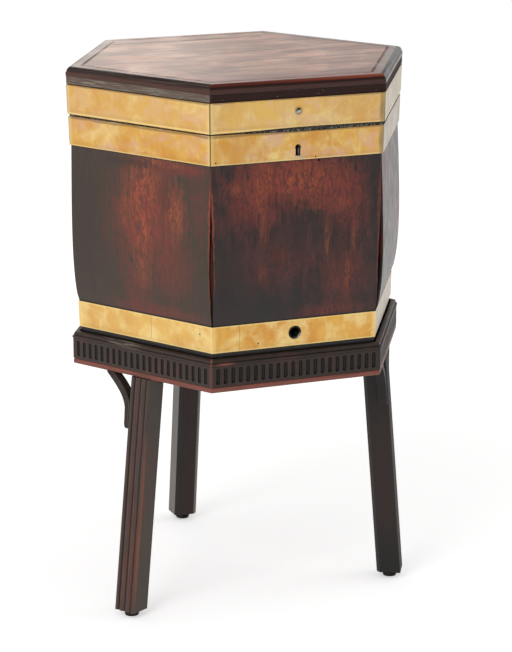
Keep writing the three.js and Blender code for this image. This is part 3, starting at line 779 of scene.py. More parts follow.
def case_wood(look):
    """Old mahogany with upright figure, darkened, with soft worn streaks and rubbed corners."""
    name = "Side mahogany"
    if known(name):
        return known(name)
    made, paint, shader = material(name, look.panel_gloss, specular=0.4)
    along, out, height, side = paint.sides()
    shifted = paint.plus(along, paint.times(side, 0.731))
    streaks = paint.noise(grain(paint, shifted, out, height, 230, 13), 1, 6, 0.68, 0.4)
    mottle = paint.noise(grain(paint, shifted, out, height, 90, 34), 1, 5, 0.66, 0.6)
    lines = paint.noise(grain(paint, shifted, out, height, 760, 16), 1, 4, 0.6, 0.2)
    pores = paint.noise(grain(paint, shifted, out, height, 1500, 42), 1, 3, 0.6)
    clouds = paint.noise(grain(paint, shifted, out, height, 17, 11), 1, 4, 0.6, 0.4)
    spot = paint.vector(along, height, 0.0)
    spots = paint.noise(grain(paint, shifted, out, height, 420, 130), 1, 4, 0.62, 0.5)
    blobs = paint.noise(grain(paint, shifted, out, height, 190, 96), 1, 5, 0.66, 0.9)
    fray = paint.plus(paint.centred(streaks, 1.5), paint.centred(mottle, 1.3))
    fray = paint.plus(fray, paint.plus(paint.centred(spots, 0.9), paint.centred(blobs, 1.6)))
    on = {label: paint.on_side(side, label) for label in ("front", "front_left")}
    seen = paint.either(on["front"], on["front_left"])

    def places(table, start):
        whole = start
        for label, x, z, wide, tall, strength in table:
            oval = paint.patch(spot, (x / 1000, z / 1000), (wide / 1000, tall / 1000), fray)
            oval = paint.both(paint.both(oval, on[label]), strength)
            whole = paint.minus(paint.plus(whole, oval), paint.both(whole, oval))
        return whole

    # The ground, browner on the front left side, then its red and its worn orange places
    dark = paint.mixed(paint.fade(clouds, 0.3, 0.7), look.panel_black, look.panel_dark)
    brown = paint.mixed(paint.fade(mottle, 0.2, 0.8), look.panel_dark, look.panel_brown)
    brown = paint.tint(brown, look.panel_brown, 0.6)
    base = paint.mixed(on["front_left"], dark, brown)
    unseen = paint.both(paint.unless(seen), paint.both(paint.fade(clouds, 0.4, 0.75), 0.7))
    red = paint.both(places(RED_PLACES, unseen), paint.scaled(paint.fade(streaks, 0.3, 0.62), 0.38, 1.0))
    red = paint.both(red, paint.scaled(paint.fade(spots, 0.4, 0.6), 0.7, 1.15))
    red = paint.both(red, paint.scaled(paint.fade(blobs, 0.43, 0.53), 0.5, 1.2))
    base = paint.tint(base, look.panel_red, red)
    worn = paint.both(places(ORANGE_PLACES, 0.0), paint.scaled(paint.fade(lines, 0.36, 0.62), 0.3, 1.0))
    worn = paint.both(worn, paint.scaled(paint.fade(mottle, 0.4, 0.56), 0.15, 1.15))
    worn = paint.both(worn, paint.scaled(paint.fade(spots, 0.42, 0.58), 0.6, 1.3))
    worn = paint.both(worn, paint.scaled(paint.fade(blobs, 0.43, 0.53), 0.35, 1.2))
    worn_tone = paint.mixed(paint.scaled(on["front"], 0.2, 0.28), look.panel_orange, look.panel_red)
    base = paint.mixed(worn, base, worn_tone)

    # Dark places, lines and pores
    blot = paint.both(places(DARK_PLACES, 0.0), paint.scaled(paint.fade(mottle, 0.3, 0.6), 0.5, 1.0))
    base = paint.tint(base, look.panel_black, blot, 0.8)
    base = paint.tint(base, look.panel_black, paint.fade(lines, 0.5, 0.75), 0.22)
    base = paint.tint(base, look.panel_black, paint.fade(pores, 0.58, 0.74), 0.4)

    # The rubbed corners, then the board outside the bands, painted shade where it shows in the gaps, and
    # the inner faces
    corner = paint.to_corner(along, out)
    corner = paint.plus(corner, paint.centred(streaks, 0.003))
    opened = paint.both(paint.near(height, 0.49, 0.1), paint.scaled(blobs, 0.0, 0.0068))
    rubbed = paint.unless(paint.fade(paint.minus(corner, opened), 0.0, 0.0018))
    rubbed = paint.both(rubbed, paint.scaled(paint.near(height, 0.505, 0.11), 0.12, 0.8))
    rubbed = paint.both(rubbed, paint.scaled(paint.fade(spots, 0.38, 0.56), 0.5, 1.0))
    board = paint.both(paint.fade(height, 0.392, 0.395), paint.unless(paint.fade(height, 0.592, 0.594)))
    rubbed_tone = paint.mixed(0.3, look.panel_red, look.panel_orange)
    right_front = paint.both(on["front"], paint.fade(along, 0.0, 0.01))
    kept = paint.both(paint.scaled(right_front, 1.0, 0.5), seen)
    kept = paint.both(kept, paint.unless(paint.both(on["front_left"], paint.fade(along, 0.0, -0.01))))
    base = paint.mixed(paint.both(paint.both(rubbed, board), kept), base, rubbed_tone)
    # Painted shade: the board outside the bands is black below and near black above, where it shows in
    # the gaps by the rim and under the lid, with torn grain at its top
    gap_shade = paint.mixed(paint.fade(height, 0.45, 0.5), look.panel_black, look.dirt_and_shade)
    torn = paint.both(paint.fade(height, 0.626, 0.628), paint.fade(lines, 0.48, 0.6))
    gap_shade = paint.tint(gap_shade, look.fibres_and_light, torn, 0.6)
    base = paint.mixed(paint.unless(board), base, gap_shade)
    inner = paint.unless(paint.fade(paint.minus(out, paint.times(height, 0.03)), 0.1705, 0.1725))
    base = paint.tint(base, look.inner_wood, inner, 0.7)
    rough = paint.scaled(paint.fade(mottle, 0.2, 0.8), look.panel_gloss - 0.06, look.panel_gloss + 0.14)
    wave = paint.noise(grain(paint, shifted, out, height, 16, 9), 1, 2)
    height_map = paint.plus(paint.times(pores, 0.12), paint.times(streaks, 0.3))
    under = paint.bump(wave, 0.0016, 0.35)
    coated(paint, shader, base, rough, paint.bump(height_map, 0.0002, 0.5, under))
    return made


def lid_wood(look, size):
    """The lid's faded top with its cross-banded border, and its dark moulded edge."""
    name = "Lid mahogany"
    if known(name):
        return known(name)
    made, paint, shader = material(name, look.top_gloss, specular=0.25)
    along, out, height, side = paint.sides()
    x, y, z = paint.node("SeparateXYZ", paint.here()).outputs
    long_grain = paint.noise(grain(paint, y, z, x, 170, 5), 1, 6, 0.66, 0.7)
    bands = paint.noise(grain(paint, y, z, x, 34, 3), 1, 4, 0.6, 0.5)
    patches = paint.noise(paint.here(), 13, 5, 0.62, 0.5)
    pores = paint.noise(grain(paint, y, z, x, 1400, 50), 1, 3, 0.6)
    broad = paint.noise(grain(paint, y, z, x, 26, 9), 1, 5, 0.64, 0.8)

    # The field and the cross-banded border
    field = paint.mixed(paint.fade(long_grain, 0.2, 0.8), look.top_dark, look.top_light)
    field = paint.tint(field, look.top_dark, paint.fade(broad, 0.5, 0.68), 0.75)
    field = paint.tint(field, look.top_dark, paint.fade(bands, 0.52, 0.68), 0.5)
    field = paint.tint(field, look.top_light, paint.fade(broad, 0.5, 0.34), 0.8)
    field = paint.tint(field, look.fibres_and_light, paint.fade(patches, 0.5, 0.66), 0.4)
    cross = paint.noise(grain(paint, along, z, out, 320, 14), 1, 5, 0.6, 0.4)
    border = paint.mixed(paint.fade(cross, 0.25, 0.75), look.top_dark, look.top_light)
    border = paint.tint(border, look.fibres_and_light, 0.25)
    front = paint.on_side(side, "front")
    left = paint.on_side(side, "front_left")
    faded = paint.unless(paint.either(paint.either(front, left), paint.on_side(side, "back")))
    border = paint.tint(border, look.lead, faded, 0.5)
    border = paint.tint(border, look.panel_red, left, 0.45)
    border = paint.tint(border, look.panel_dark, left, 0.4)
    edge = BOARD_HIGH.y - MIDDLE.y - BORDER_WIDTH
    top = paint.mixed(paint.fade(out, edge, edge + 0.0004), field, border)

    # Dirt in the border's line and in the joints of the field's boards
    wander = paint.centred(patches, 0.003)
    line = paint.near(paint.plus(out, paint.both(wander, 0.3)), edge, 0.0026)
    back = paint.plus(y, wander)
    joint = paint.near(back, BOARD_HIGH.y - NEAR_JOINT, 0.0026)
    far_joint = paint.near(back, BOARD_HIGH.y - FAR_JOINT, 0.0018)
    joint = paint.either(joint, paint.both(far_joint, 0.6))
    joint = paint.both(joint, paint.unless(paint.fade(out, edge - 0.001, edge)))
    seam_strength = paint.scaled(paint.fade(patches, 0.35, 0.65), 0.15, 0.55)
    seam = paint.both(paint.either(line, joint), seam_strength)
    top = paint.tint(top, look.dirt_and_shade, seam)

    # Broad stains, painted shade darkening and reddening the part nearest the front, and the pale worn
    # line at its edge
    blots = paint.noise(paint.here(), 8, 4, 0.6, 0.9)
    top = paint.tint(top, look.worn_brown_and_shading, paint.fade(blots, 0.48, 0.64), 0.4)
    # Painted shade: the top is darker towards the front, and darker and redder along the front edge
    nearer = paint.unless(paint.fade(y, MIDDLE.y - 0.21, MIDDLE.y - 0.04))
    top = paint.tint(top, look.worn_brown_and_shading, nearer, 0.22)
    near_edge = paint.plus(y, paint.plus(paint.centred(long_grain, 0.05), paint.centred(blots, 0.06)))
    nearest = paint.unless(paint.fade(near_edge, MIDDLE.y - 0.19, MIDDLE.y - 0.115))
    top = paint.tint(top, look.panel_red, nearest, 0.5)
    top = paint.tint(top, look.panel_dark, nearest, 0.28)
    dulled = paint.both(paint.fade(x, -0.1, -0.2), paint.fade(y, MIDDLE.y + 0.03, MIDDLE.y + 0.12))
    top = paint.tint(top, look.fibres_and_light, dulled, 0.4)
    worn_line = paint.both(paint.near(out, 0.1922, 0.0014), front)
    worn_line = paint.both(worn_line, paint.unless(paint.fade(along, -0.06, -0.02)))
    worn_line = paint.both(worn_line, paint.scaled(paint.fade(patches, 0.35, 0.6), 0.4, 0.9))
    top = paint.tint(top, look.fibres_and_light, worn_line)
    top = paint.tint(top, look.top_dark, paint.fade(pores, 0.6, 0.75), 0.35)
    knots = paint.fade(paint.cells(paint.here(), 13), 0.0, 0.05)
    top = paint.tint(top, look.panel_dark, paint.unless(knots), 0.6)

    # The moulded edge, from its rounded top down to the rough core
    roll_foot = BOARD_HIGH.z - size.ovolo_height
    core_top = BOARD_LOW.z + size.core_height
    rough_grain = paint.noise(grain(paint, height, out, along, 900, 14), 1, 5, 0.66, 0.4)
    ragged = paint.noise(grain(paint, height, out, along, 820, 42), 1, 5, 0.7, 0.5)
    # The edge's ground: dark wood mixed with near black, left near black on the rounded edge as painted
    # shade
    face = paint.mixed(paint.fade(rough_grain, 0.3, 0.7), look.dirt_and_shade, look.panel_dark)
    face = paint.tint(face, look.worn_brown_and_shading, 0.12)
    over_roll_foot = paint.fade(height, roll_foot, roll_foot + 0.0006)
    body = paint.both(paint.fade(height, core_top, core_top + 0.0004), paint.unless(over_roll_foot))
    body = paint.both(body, paint.scaled(paint.fade(ragged, 0.35, 0.6), 0.4, 1.0))
    body = paint.both(body, paint.scaled(front, 0.75, 0.4))
    face = paint.tint(face, look.worn_brown_and_shading, body)
    lower = paint.unless(paint.fade(height, core_top - 0.0006, core_top + 0.0002))
    face = paint.tint(face, look.fibres_and_light, paint.both(lower, left), 0.3)
    dusty = paint.both(paint.both(left, over_roll_foot), paint.fade(rough_grain, 0.46, 0.62))
    face = paint.tint(face, look.fibres_and_light, dusty, 0.12)
    brown = paint.both(paint.both(lower, left), paint.both(paint.fade(rough_grain, 0.45, 0.58), 0.65))
    face = paint.tint(face, look.worn_brown_and_shading, brown)
    bare = paint.both(paint.both(lower, left), paint.fade(ragged, 0.48, 0.58))
    bare = paint.both(bare, paint.scaled(paint.fade(along, 0.08, -0.09), 0.4, 0.85))
    bare = paint.both(bare, paint.scaled(paint.fade(patches, 0.4, 0.58), 0.5, 1.3))
    specks = paint.fade(paint.noise(paint.here(), 330, 3, 0.6), 0.66, 0.76)
    specks = paint.both(paint.both(lower, front), specks)
    face = paint.tint(face, look.fibres_and_light, paint.either(bare, specks), 0.75)
    # Painted highlight: a red-brown line along the top of the front's rounded edge, more orange to the
    # right and darker to the left
    arris_wave = paint.plus(height, paint.centred(ragged, 0.002))
    arris = paint.both(front, paint.fade(arris_wave, BOARD_HIGH.z - 0.0042, BOARD_HIGH.z - 0.002))
    tone = paint.tint(look.panel_red, look.panel_orange, paint.fade(along, -0.09, 0.09), 0.32)
    tone = paint.tint(tone, look.panel_dark, paint.fade(along, 0.09, -0.09), 0.45)
    face = paint.mixed(paint.both(arris, 0.72), face, tone)

    # Top, edge and underside together
    is_top = paint.unless(paint.fade(out, 0.1926, 0.1931))
    is_top = paint.both(is_top, paint.fade(height, BOARD_HIGH.z - 0.0004, BOARD_HIGH.z - 0.0001))
    whole = paint.mixed(is_top, face, top)
    below = paint.unless(paint.fade(height, BOARD_LOW.z + 0.0001, BOARD_LOW.z + 0.0004))
    under_wood = paint.mixed(paint.fade(long_grain, 0.3, 0.7), look.inner_wood, look.top_dark)
    whole = paint.mixed(below, whole, under_wood)
    rough = paint.scaled(patches, look.top_gloss - 0.1, look.top_gloss + 0.16)
    rough = paint.plus(rough, paint.both(paint.both(lower, paint.unless(is_top)), 0.5))
    rough = paint.plus(rough, paint.both(paint.both(seam, is_top), 0.5))
    wave = paint.noise(grain(paint, y, z, x, 22, 7), 1, 2)
    under = paint.bump(wave, 0.001, 0.3)
    marks = paint.plus(paint.times(long_grain, 0.3), paint.times(rough_grain, 0.5))
    coated(paint, shader, whole, rough, paint.bump(marks, 0.0002, 0.5, under))
    return made


def stand_wood(look, name="Stand wood", red=False):
    """Dark stained wood of the stand, rubbed reddish on its edges and dark in its pores; on the rails
    and rim, painted shade in the flutes and on the front side.
    """
    if known(name):
        return known(name)
    made, paint, shader = material(name, look.stand_gloss, specular=0.3)
    along, out, height, side = paint.sides()
    shifted = paint.plus(along, paint.times(side, 0.531))
    streaks = paint.noise(grain(paint, height, out, shifted, 260, 12), 1, 5, 0.6, 0.4)
    clouds = paint.noise(paint.here(), 28, 4, 0.6, 0.3)
    pores = paint.noise(grain(paint, height, out, shifted, 1500, 60), 1, 3, 0.6)
    base = look.stand_wood
    if red:
        base = paint.mixed(paint.fade(streaks, 0.5, 0.85), look.bead_red, base)
    wear = paint.both(paint.fade(clouds, 0.5, 0.72), 0.4)
    base = paint.tint(base, look.worn_brown_and_shading, wear)
    base = paint.tint(base, look.dirt_and_shade, paint.fade(pores, 0.58, 0.74), 0.6)
    if not red:
        low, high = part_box("stand_rail_front")
        face = MIDDLE.y - low.y
        deep = paint.unless(paint.fade(out, face - 0.0012, face - 0.0002))
        band = paint.unless(paint.fade(height, high.z - 0.003, high.z - 0.0025))
        band = paint.both(paint.fade(height, low.z + 0.008, low.z + 0.0085), band)
        front = paint.on_side(side, "front")
        # Painted shade: the whole front side is darker
        base = paint.tint(base, look.dirt_and_shade, front, 0.25)
        corner = paint.to_corner(along, out)
        on_left = paint.on_side(side, "front_left")
        ridge = paint.unless(paint.fade(corner, 0.0006, 0.0022))
        ridge = paint.both(ridge, paint.scaled(streaks, 0.3, 1.0))
        ridge = paint.both(ridge, paint.either(on_left, front))
        x = paint.node("SeparateXYZ", paint.here()).outputs[0]
        ridge = paint.both(ridge, paint.fade(x, -0.04, -0.06))
        base = paint.tint(base, look.bead_red, ridge)
        # Painted shade: near black deep in the flutes, within the rails' fluted band
        base = paint.tint(base, look.dirt_and_shade, paint.both(deep, band), 0.93)
        spot = paint.vector(along, height, 0.0)
        fray = paint.centred(clouds, 1.0)
        scuffs = paint.patch(spot, (-0.035, high.z + 0.006), (0.045, 0.006), fray)
        scuffs = paint.both(paint.both(scuffs, on_left), paint.fade(streaks, 0.52, 0.62))
        base = paint.tint(base, look.fibres_and_light, scuffs, 0.6)
        rubbed = paint.patch(spot, (-0.096, high.z + 0.002), (0.02, 0.003), fray)
        base = paint.tint(base, look.bead_red, paint.both(rubbed, front), 0.8)
    rough = paint.scaled(clouds, look.stand_gloss - 0.08, look.stand_gloss + 0.18)
    marks = paint.plus(streaks, paint.times(pores, 0.4))
    coated(paint, shader, base, rough, paint.bump(marks, 0.0002, 0.6))
    return made


def leg_wood(look, size):
    """The stand's wood with its grain running down, rubbed on the arrises, with painted shade in the
    grooves and painted light and shade on the legs.
    """
    name = "Leg wood"
    if known(name):
        return known(name)
    made, paint, shader = material(name, look.stand_gloss, specular=0.34)
    along, out, height, side = paint.sides()
    x, y, z = paint.node("SeparateXYZ", paint.here()).outputs
    streaks = paint.noise(grain(paint, x, y, z, 260, 9), 1, 5, 0.64, 0.5)
    clouds = paint.noise(grain(paint, x, y, z, 44, 9), 1, 4, 0.6, 0.5)
    pores = paint.noise(grain(paint, x, y, z, 1500, 50), 1, 3, 0.6)
    base = paint.mixed(paint.fade(streaks, 0.3, 0.7), look.stand_wood, look.panel_black)
    base = paint.tint(base, look.worn_brown_and_shading, paint.fade(clouds, 0.5, 0.75), 0.4)
    on_left = paint.on_side(side, "front_left")
    on_right = paint.on_side(side, "front_right")
    on_back = paint.on_side(side, "back")

    # Depth behind the outer face; the front right leg stands more upright than the other two
    spans = [leg_span("front_right"), leg_span("front_left")]
    low, top, _, _, half = spans[0]
    leaning = paint.unless(on_right)
    slope = paint.scaled(leaning, *[spread / (top - low) for _, _, _, spread, _ in spans])
    front = paint.scaled(leaning, *[face for _, _, face, _, _ in spans])
    front = paint.plus(front, paint.both(paint.minus(top, height), slope))
    depth = paint.minus(front, out)
    across = paint.calc("ABSOLUTE", along)

    # Painted shade in the grooves between the reeds, and worn arrises
    outer_groove = half * (1 - 2 * REED_SHARES[0])
    grooves = paint.either(paint.near(across, outer_groove, 0.0024), paint.near(across, 0.0, 0.0022))
    grooves = paint.both(grooves, paint.unless(paint.fade(depth, 0.003, 0.006)))
    base = paint.tint(base, look.dirt_and_shade, grooves, 0.92)
    edge = paint.both(paint.near(across, half, 0.0036), paint.unless(paint.fade(depth, 0.0015, 0.005)))
    edge = paint.both(edge, paint.scaled(paint.fade(clouds, 0.35, 0.65), 0.3, 1.0))
    edge = paint.both(edge, paint.unless(paint.fade(height, 0.19, 0.28)))
    base = paint.tint(base, look.worn_brown_and_shading, edge, 0.65)

    # The front left leg: painted lighter and greyer as the lit leg, then rubbed crests on its reeds,
    # painted shade and worn smears on its flank, and its worn arris
    base = paint.tint(base, look.worn_brown_and_shading, on_left, 0.14)
    base = paint.tint(base, look.fibres_and_light, on_left, 0.06)
    crests = paint.either(paint.near(across, half * 0.5, 0.0016), paint.near(across, half * 0.1, 0.0014))
    crests = paint.both(paint.both(crests, on_left), paint.unless(paint.fade(depth, 0.002, 0.004)))
    crests = paint.both(crests, paint.scaled(paint.fade(clouds, 0.42, 0.6), 0.1, 1.0))
    crests = paint.both(crests, paint.scaled(paint.fade(streaks, 0.4, 0.58), 0.4, 1.1))
    base = paint.tint(base, look.panel_red, crests, 0.42)
    right_half = paint.both(on_left, paint.fade(along, 0.0, 0.002))
    beside = paint.both(right_half, paint.fade(across, half - 0.001, half))
    smear = paint.both(paint.near(height, 0.16, 0.1), paint.fade(streaks, 0.42, 0.58))
    # Painted shade on the flank of the front left leg, a little grey, with a brown smear of wear on its
    # lower part
    base = paint.tint(base, look.dirt_and_shade, beside, 0.5)
    base = paint.tint(base, look.fibres_and_light, beside, 0.08)
    base = paint.tint(base, look.worn_brown_and_shading, paint.both(beside, smear), 0.42)
    worn_arris = paint.both(right_half, paint.near(across, half, 0.0022))
    worn_arris = paint.both(worn_arris, paint.near(height, 0.12, 0.14))
    worn_arris = paint.both(worn_arris, paint.unless(paint.fade(depth, 0.0022, 0.0042)))
    base = paint.tint(base, look.panel_orange, worn_arris, 0.32)

    # Shade on the other legs and the brackets, then the marks of the back and right legs
    shaded = paint.both(paint.unless(on_left), 0.35)
    shaded = paint.either(shaded, paint.both(paint.fade(across, half + 0.001, half + 0.003), 0.5))
    shaded = paint.either(shaded, paint.both(on_right, 0.86))
    base = paint.tint(base, look.dirt_and_shade, shaded)
    chamfer_sum = half + size.leg_depth - size.leg_chamfer
    chamfer = paint.near(paint.plus(across, depth), chamfer_sum, 0.0016)
    chamfer = paint.both(chamfer, paint.fade(depth, 0.022, 0.026))
    flank = paint.fade(across, half - 0.0012, half - 0.0006)
    flank = paint.both(paint.unless(paint.fade(depth, 0.025, 0.027)), flank)
    lefthand = paint.fade(along, -0.002, 0.002)
    paler = paint.either(paint.both(flank, lefthand), paint.both(chamfer, paint.unless(lefthand)))
    base = paint.tint(base, look.panel_dark, on_back, 0.55)
    reddened = paint.both(on_right, paint.near(height, 0.15, 0.13))
    reddened = paint.both(reddened, paint.scaled(clouds, 0.0, 0.22))
    base = paint.tint(base, look.worn_brown_and_shading, reddened)
    # The front right leg is darker at its top and near its foot
    darker_ends = paint.either(paint.fade(height, 0.06, 0.02), paint.fade(height, 0.25, 0.3))
    base = paint.tint(base, look.dirt_and_shade, paint.both(darker_ends, on_right), 0.6)
    # Painted reflection: pale grey on the back leg's left flank and right chamfer
    grey = paint.mixed(0.6, look.fibres_and_light, look.lead)
    base = paint.tint(base, grey, paint.both(paler, on_back), 0.55)
    # Painted shade on the back leg's left chamfer
    base = paint.tint(base, look.dirt_and_shade, paint.both(paint.both(chamfer, lefthand), on_back), 0.6)
    base = paint.tint(base, look.dirt_and_shade, paint.fade(pores, 0.58, 0.74), 0.5)
    rough = paint.scaled(clouds, look.stand_gloss - 0.1, look.stand_gloss + 0.16)
    marks = paint.plus(streaks, paint.times(pores, 0.4))
    coated(paint, shader, base, rough, paint.bump(marks, 0.0002, 0.6))
    return made


def inner_wood(look):
    """Plain unpolished wood inside the lid and under the lining, with painted shade on its outer faces,
    where they show in the gap under the lid's bands.
    """
    name = "Inner wood"
    if known(name):
        return known(name)
    rough = 0.62
    made, paint, shader = material(name, rough, specular=0.35)
    along, out, height, _ = paint.sides()
    x, y, z = paint.node("SeparateXYZ", paint.here()).outputs
    streaks = paint.noise(grain(paint, y, z, x, 160, 7), 1, 5, 0.6, 0.5)
    pores = paint.noise(grain(paint, y, z, x, 1400, 55), 1, 3, 0.6)
    base = paint.mixed(paint.fade(streaks, 0.3, 0.7), look.inner_wood, look.top_dark)
    base = paint.tint(base, look.panel_dark, paint.fade(pores, 0.58, 0.74), 0.5)
    # Painted shade: the outer faces in the gap under the lid are darkened
    base = paint.tint(base, look.dirt_and_shade, paint.fade(out, 0.192, 0.195))
    torn = paint.noise(grain(paint, along, out, height, 760, 300), 1, 4, 0.6, 0.4)
    torn = paint.both(paint.fade(torn, 0.5, 0.6), paint.fade(out, 0.192, 0.195))
    torn = paint.both(torn, paint.unless(paint.fade(height, 0.637, 0.64)))
    base = paint.tint(base, look.fibres_and_light, torn, 0.5)
    coated(paint, shader, base, rough, paint.bump(streaks, 0.0003, 0.5))
    return made


# Marks of the brass on the front side, each an oval: its middle and reach, along and up
BRASS_WARM = (((-0.08, 0.612), (0.06, 0.03)), ((0.075, 0.652), (0.05, 0.03)))
BRASS_STAINS = (((0.1125, 0.65), (0.007, 0.017)), ((0.1115, 0.611), (0.005, 0.014)))
BRASS_WORN = (((0.004, 0.5975), (0.009, 0.0055)), ((0.0, 0.6165), (0.0035, 0.0025)))


def brass(look):
    """Aged sheet brass: pale, orange and coppery clouds, rubbed pale edges and dirty seams."""
    name = "Aged brass"
    if known(name):
        return known(name)
    made, paint, shader = material(
        name, look.brass_gloss, metal=1.0, coat=0.35, coat_roughness=0.3,
    )
    along, out, height, side = paint.sides()
    shifted = paint.plus(along, paint.times(side, 0.631))
    spot = paint.vector(shifted, out, height)
    clouds = paint.noise(spot, 15, 5, 0.6, 0.5)
    patches = paint.noise(spot, 33, 5, 0.62, 0.4)
    pink = paint.noise(grain(paint, shifted, out, height, 34, 44), 1, 5, 0.64, 0.4)
    upright = paint.noise(grain(paint, shifted, out, height, 120, 10), 1, 4, 0.6)
    flecks = paint.noise(spot, 420, 3, 0.6)
    brushed = paint.noise(grain(paint, height, out, shifted, 1600, 14), 1, 4, 0.6)
    base = paint.tint(look.brass, look.brass_orange, paint.fade(clouds, 0.4, 0.68), 0.85)
    base = paint.tint(base, look.brass_pale, paint.fade(patches, 0.42, 0.7), 0.9)
    rosy = paint.both(paint.fade(pink, 0.46, 0.66), paint.scaled(paint.fade(height, 0.4, 0.5), 0.0, 0.8))
    base = paint.tint(base, look.brass_pink, rosy)
    base = paint.tint(base, look.brass_orange, paint.fade(upright, 0.45, 0.75), 0.3)
    spot_on = paint.vector(along, height, 0.0)
    front = paint.on_side(side, "front")
    warm = paint.ovals(spot_on, BRASS_WARM, paint.centred(patches, 1.2))
    base = paint.tint(base, look.brass_orange, paint.both(warm, front), 0.6)

    # Painted reflection: the front right side is laid over with pale grey, with its streaks and blotches
    # of dirt; then the stains of the front and the tone of the front left
    sheen_and_dirt_side = paint.on_side(side, "front_right")
    base = paint.tint(base, look.fibres_and_light, sheen_and_dirt_side, 0.6)
    base = paint.tint(base, look.lead, sheen_and_dirt_side, 0.3)
    base = paint.tint(base, look.lead, paint.both(sheen_and_dirt_side, paint.fade(patches, 0.45, 0.6)), 0.45)
    streaked = paint.both(sheen_and_dirt_side, paint.fade(upright, 0.5, 0.64))
    base = paint.tint(base, look.brass_dirt_and_shade, streaked, 0.45)
    base = paint.tint(base, look.lead, paint.both(sheen_and_dirt_side, paint.fade(height, 0.63, 0.64)), 0.4)
    blotched = paint.both(sheen_and_dirt_side, paint.fade(height, 0.59, 0.6))
    blotched = paint.both(blotched, paint.fade(patches, 0.44, 0.58))
    base = paint.tint(base, look.brass_dirt_and_shade, blotched, 0.25)
    stained = paint.ovals(spot_on, BRASS_STAINS, paint.centred(patches, 0.9))
    base = paint.tint(base, look.brass_dirt_and_shade, paint.both(stained, front), 0.6)
    base = paint.tint(base, look.brass_dirt_and_shade, paint.fade(flecks, 0.62, 0.8), 0.25)
    base = paint.tint(base, look.brass_pale, paint.fade(height, 0.63, 0.64), 0.25)
    on_left = paint.on_side(side, "front_left")
    tone = paint.mixed(paint.fade(height, 0.5, 0.4), look.brass_orange, look.brass_pale)
    base = paint.tint(base, tone, on_left, 0.2)

    # Dirt and bare metal along the edges and at the corners, and a painted shadow round the stud
    ragged = paint.plus(height, paint.centred(patches, 0.0016))
    for node in ("lid_band_front", "case_band_front", "case_foot_band"):
        low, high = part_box(node)
        base = paint.tint(base, look.brass_dirt_and_shade, paint.near(ragged, low.z + 0.003, 0.003), 0.08)
        base = paint.tint(base, look.brass_pale, paint.near(ragged, low.z, 0.0016), 0.7)
        rim = paint.near(paint.plus(height, paint.centred(patches, 0.005)), high.z, 0.0024)
        tone = look.brass_pale if node == "case_foot_band" else look.brass_dirt_and_shade
        base = paint.tint(base, tone, rim, 0.55)
    low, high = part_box("lid_stud")
    middle = (0.0, (low.z + high.z) / 2)
    # Painted shadow: a dark ring round the stud
    stud = paint.patch(spot_on, middle, (0.0075, 0.0075), paint.centred(patches, 0.2))
    base = paint.tint(base, look.brass_dirt_and_shade, paint.both(stud, front), 0.8)
    corner = paint.to_corner(along, out)
    pale = paint.unless(paint.fade(paint.plus(corner, paint.centred(patches, 0.012)), 0.001, 0.007))
    base = paint.tint(base, look.brass_pale, pale, 0.5)
    upper = paint.fade(height, 0.5, 0.51)
    dirt = paint.both(paint.unless(paint.fade(corner, 0.0005, 0.0015)), upper)
    seam = paint.both(paint.both(paint.fade(along, 0.1065, 0.1115), front), paint.both(upper, 0.5))
    base = paint.tint(base, look.brass_dirt_and_shade, paint.either(paint.both(dirt, 0.75), seam))
    worn = paint.ovals(spot_on, BRASS_WORN, paint.centred(patches, 0.5))
    base = paint.tint(base, look.fibres_and_light, paint.both(worn, front), 0.5)
    rough = paint.scaled(patches, look.brass_gloss - 0.1, look.brass_gloss + 0.14)
    dents = paint.noise(spot, 34, 2, 0.5)
    under = paint.bump(dents, 0.0012, 0.35)
    coated(paint, shader, base, rough, paint.bump(brushed, 0.00006, 0.5, under))
    return made


def worn_metal(name, light, dark, roughness, scale=60, rubbed=None):
    """A dull metal with stains and fine scratches; given an oval, a painted highlight: bright inside the
    oval and dark outside it.
    """
    if known(name):
        return known(name)
    made, paint, shader = material(name, roughness, metal=0.9)
    stains = paint.noise(paint.here(), scale, 5, 0.6, 0.5)
    scratches = paint.noise(paint.here(), scale * 12, 3, 0.6, 0.8)
    base = paint.mixed(paint.fade(stains, 0.4, 0.68), light, dark)
    base = paint.tint(base, dark, paint.fade(scratches, 0.6, 0.74), 0.4)
    # Painted highlight: bright inside the oval, dark outside it
    if rubbed:
        x, _, z = paint.node("SeparateXYZ", paint.here()).outputs
        middle, reach = rubbed
        bright = paint.patch(paint.vector(x, z, 0.0), middle, reach, paint.centred(stains, 0.4))
        base = paint.tint(base, dark, paint.unless(bright), 0.85)
    rough = paint.scaled(stains, roughness - 0.1, roughness + 0.15)
    coated(paint, shader, base, rough, paint.bump(scratches, 0.0001, 0.4))
    return made


# Pieces


class Builder:
    bl_options = {"REGISTER", "UNDO"}

    def look(self, context):
        return context.scene.cellarette_finishes

    def sizes(self, context):
        return context.scene.cellarette_sizes


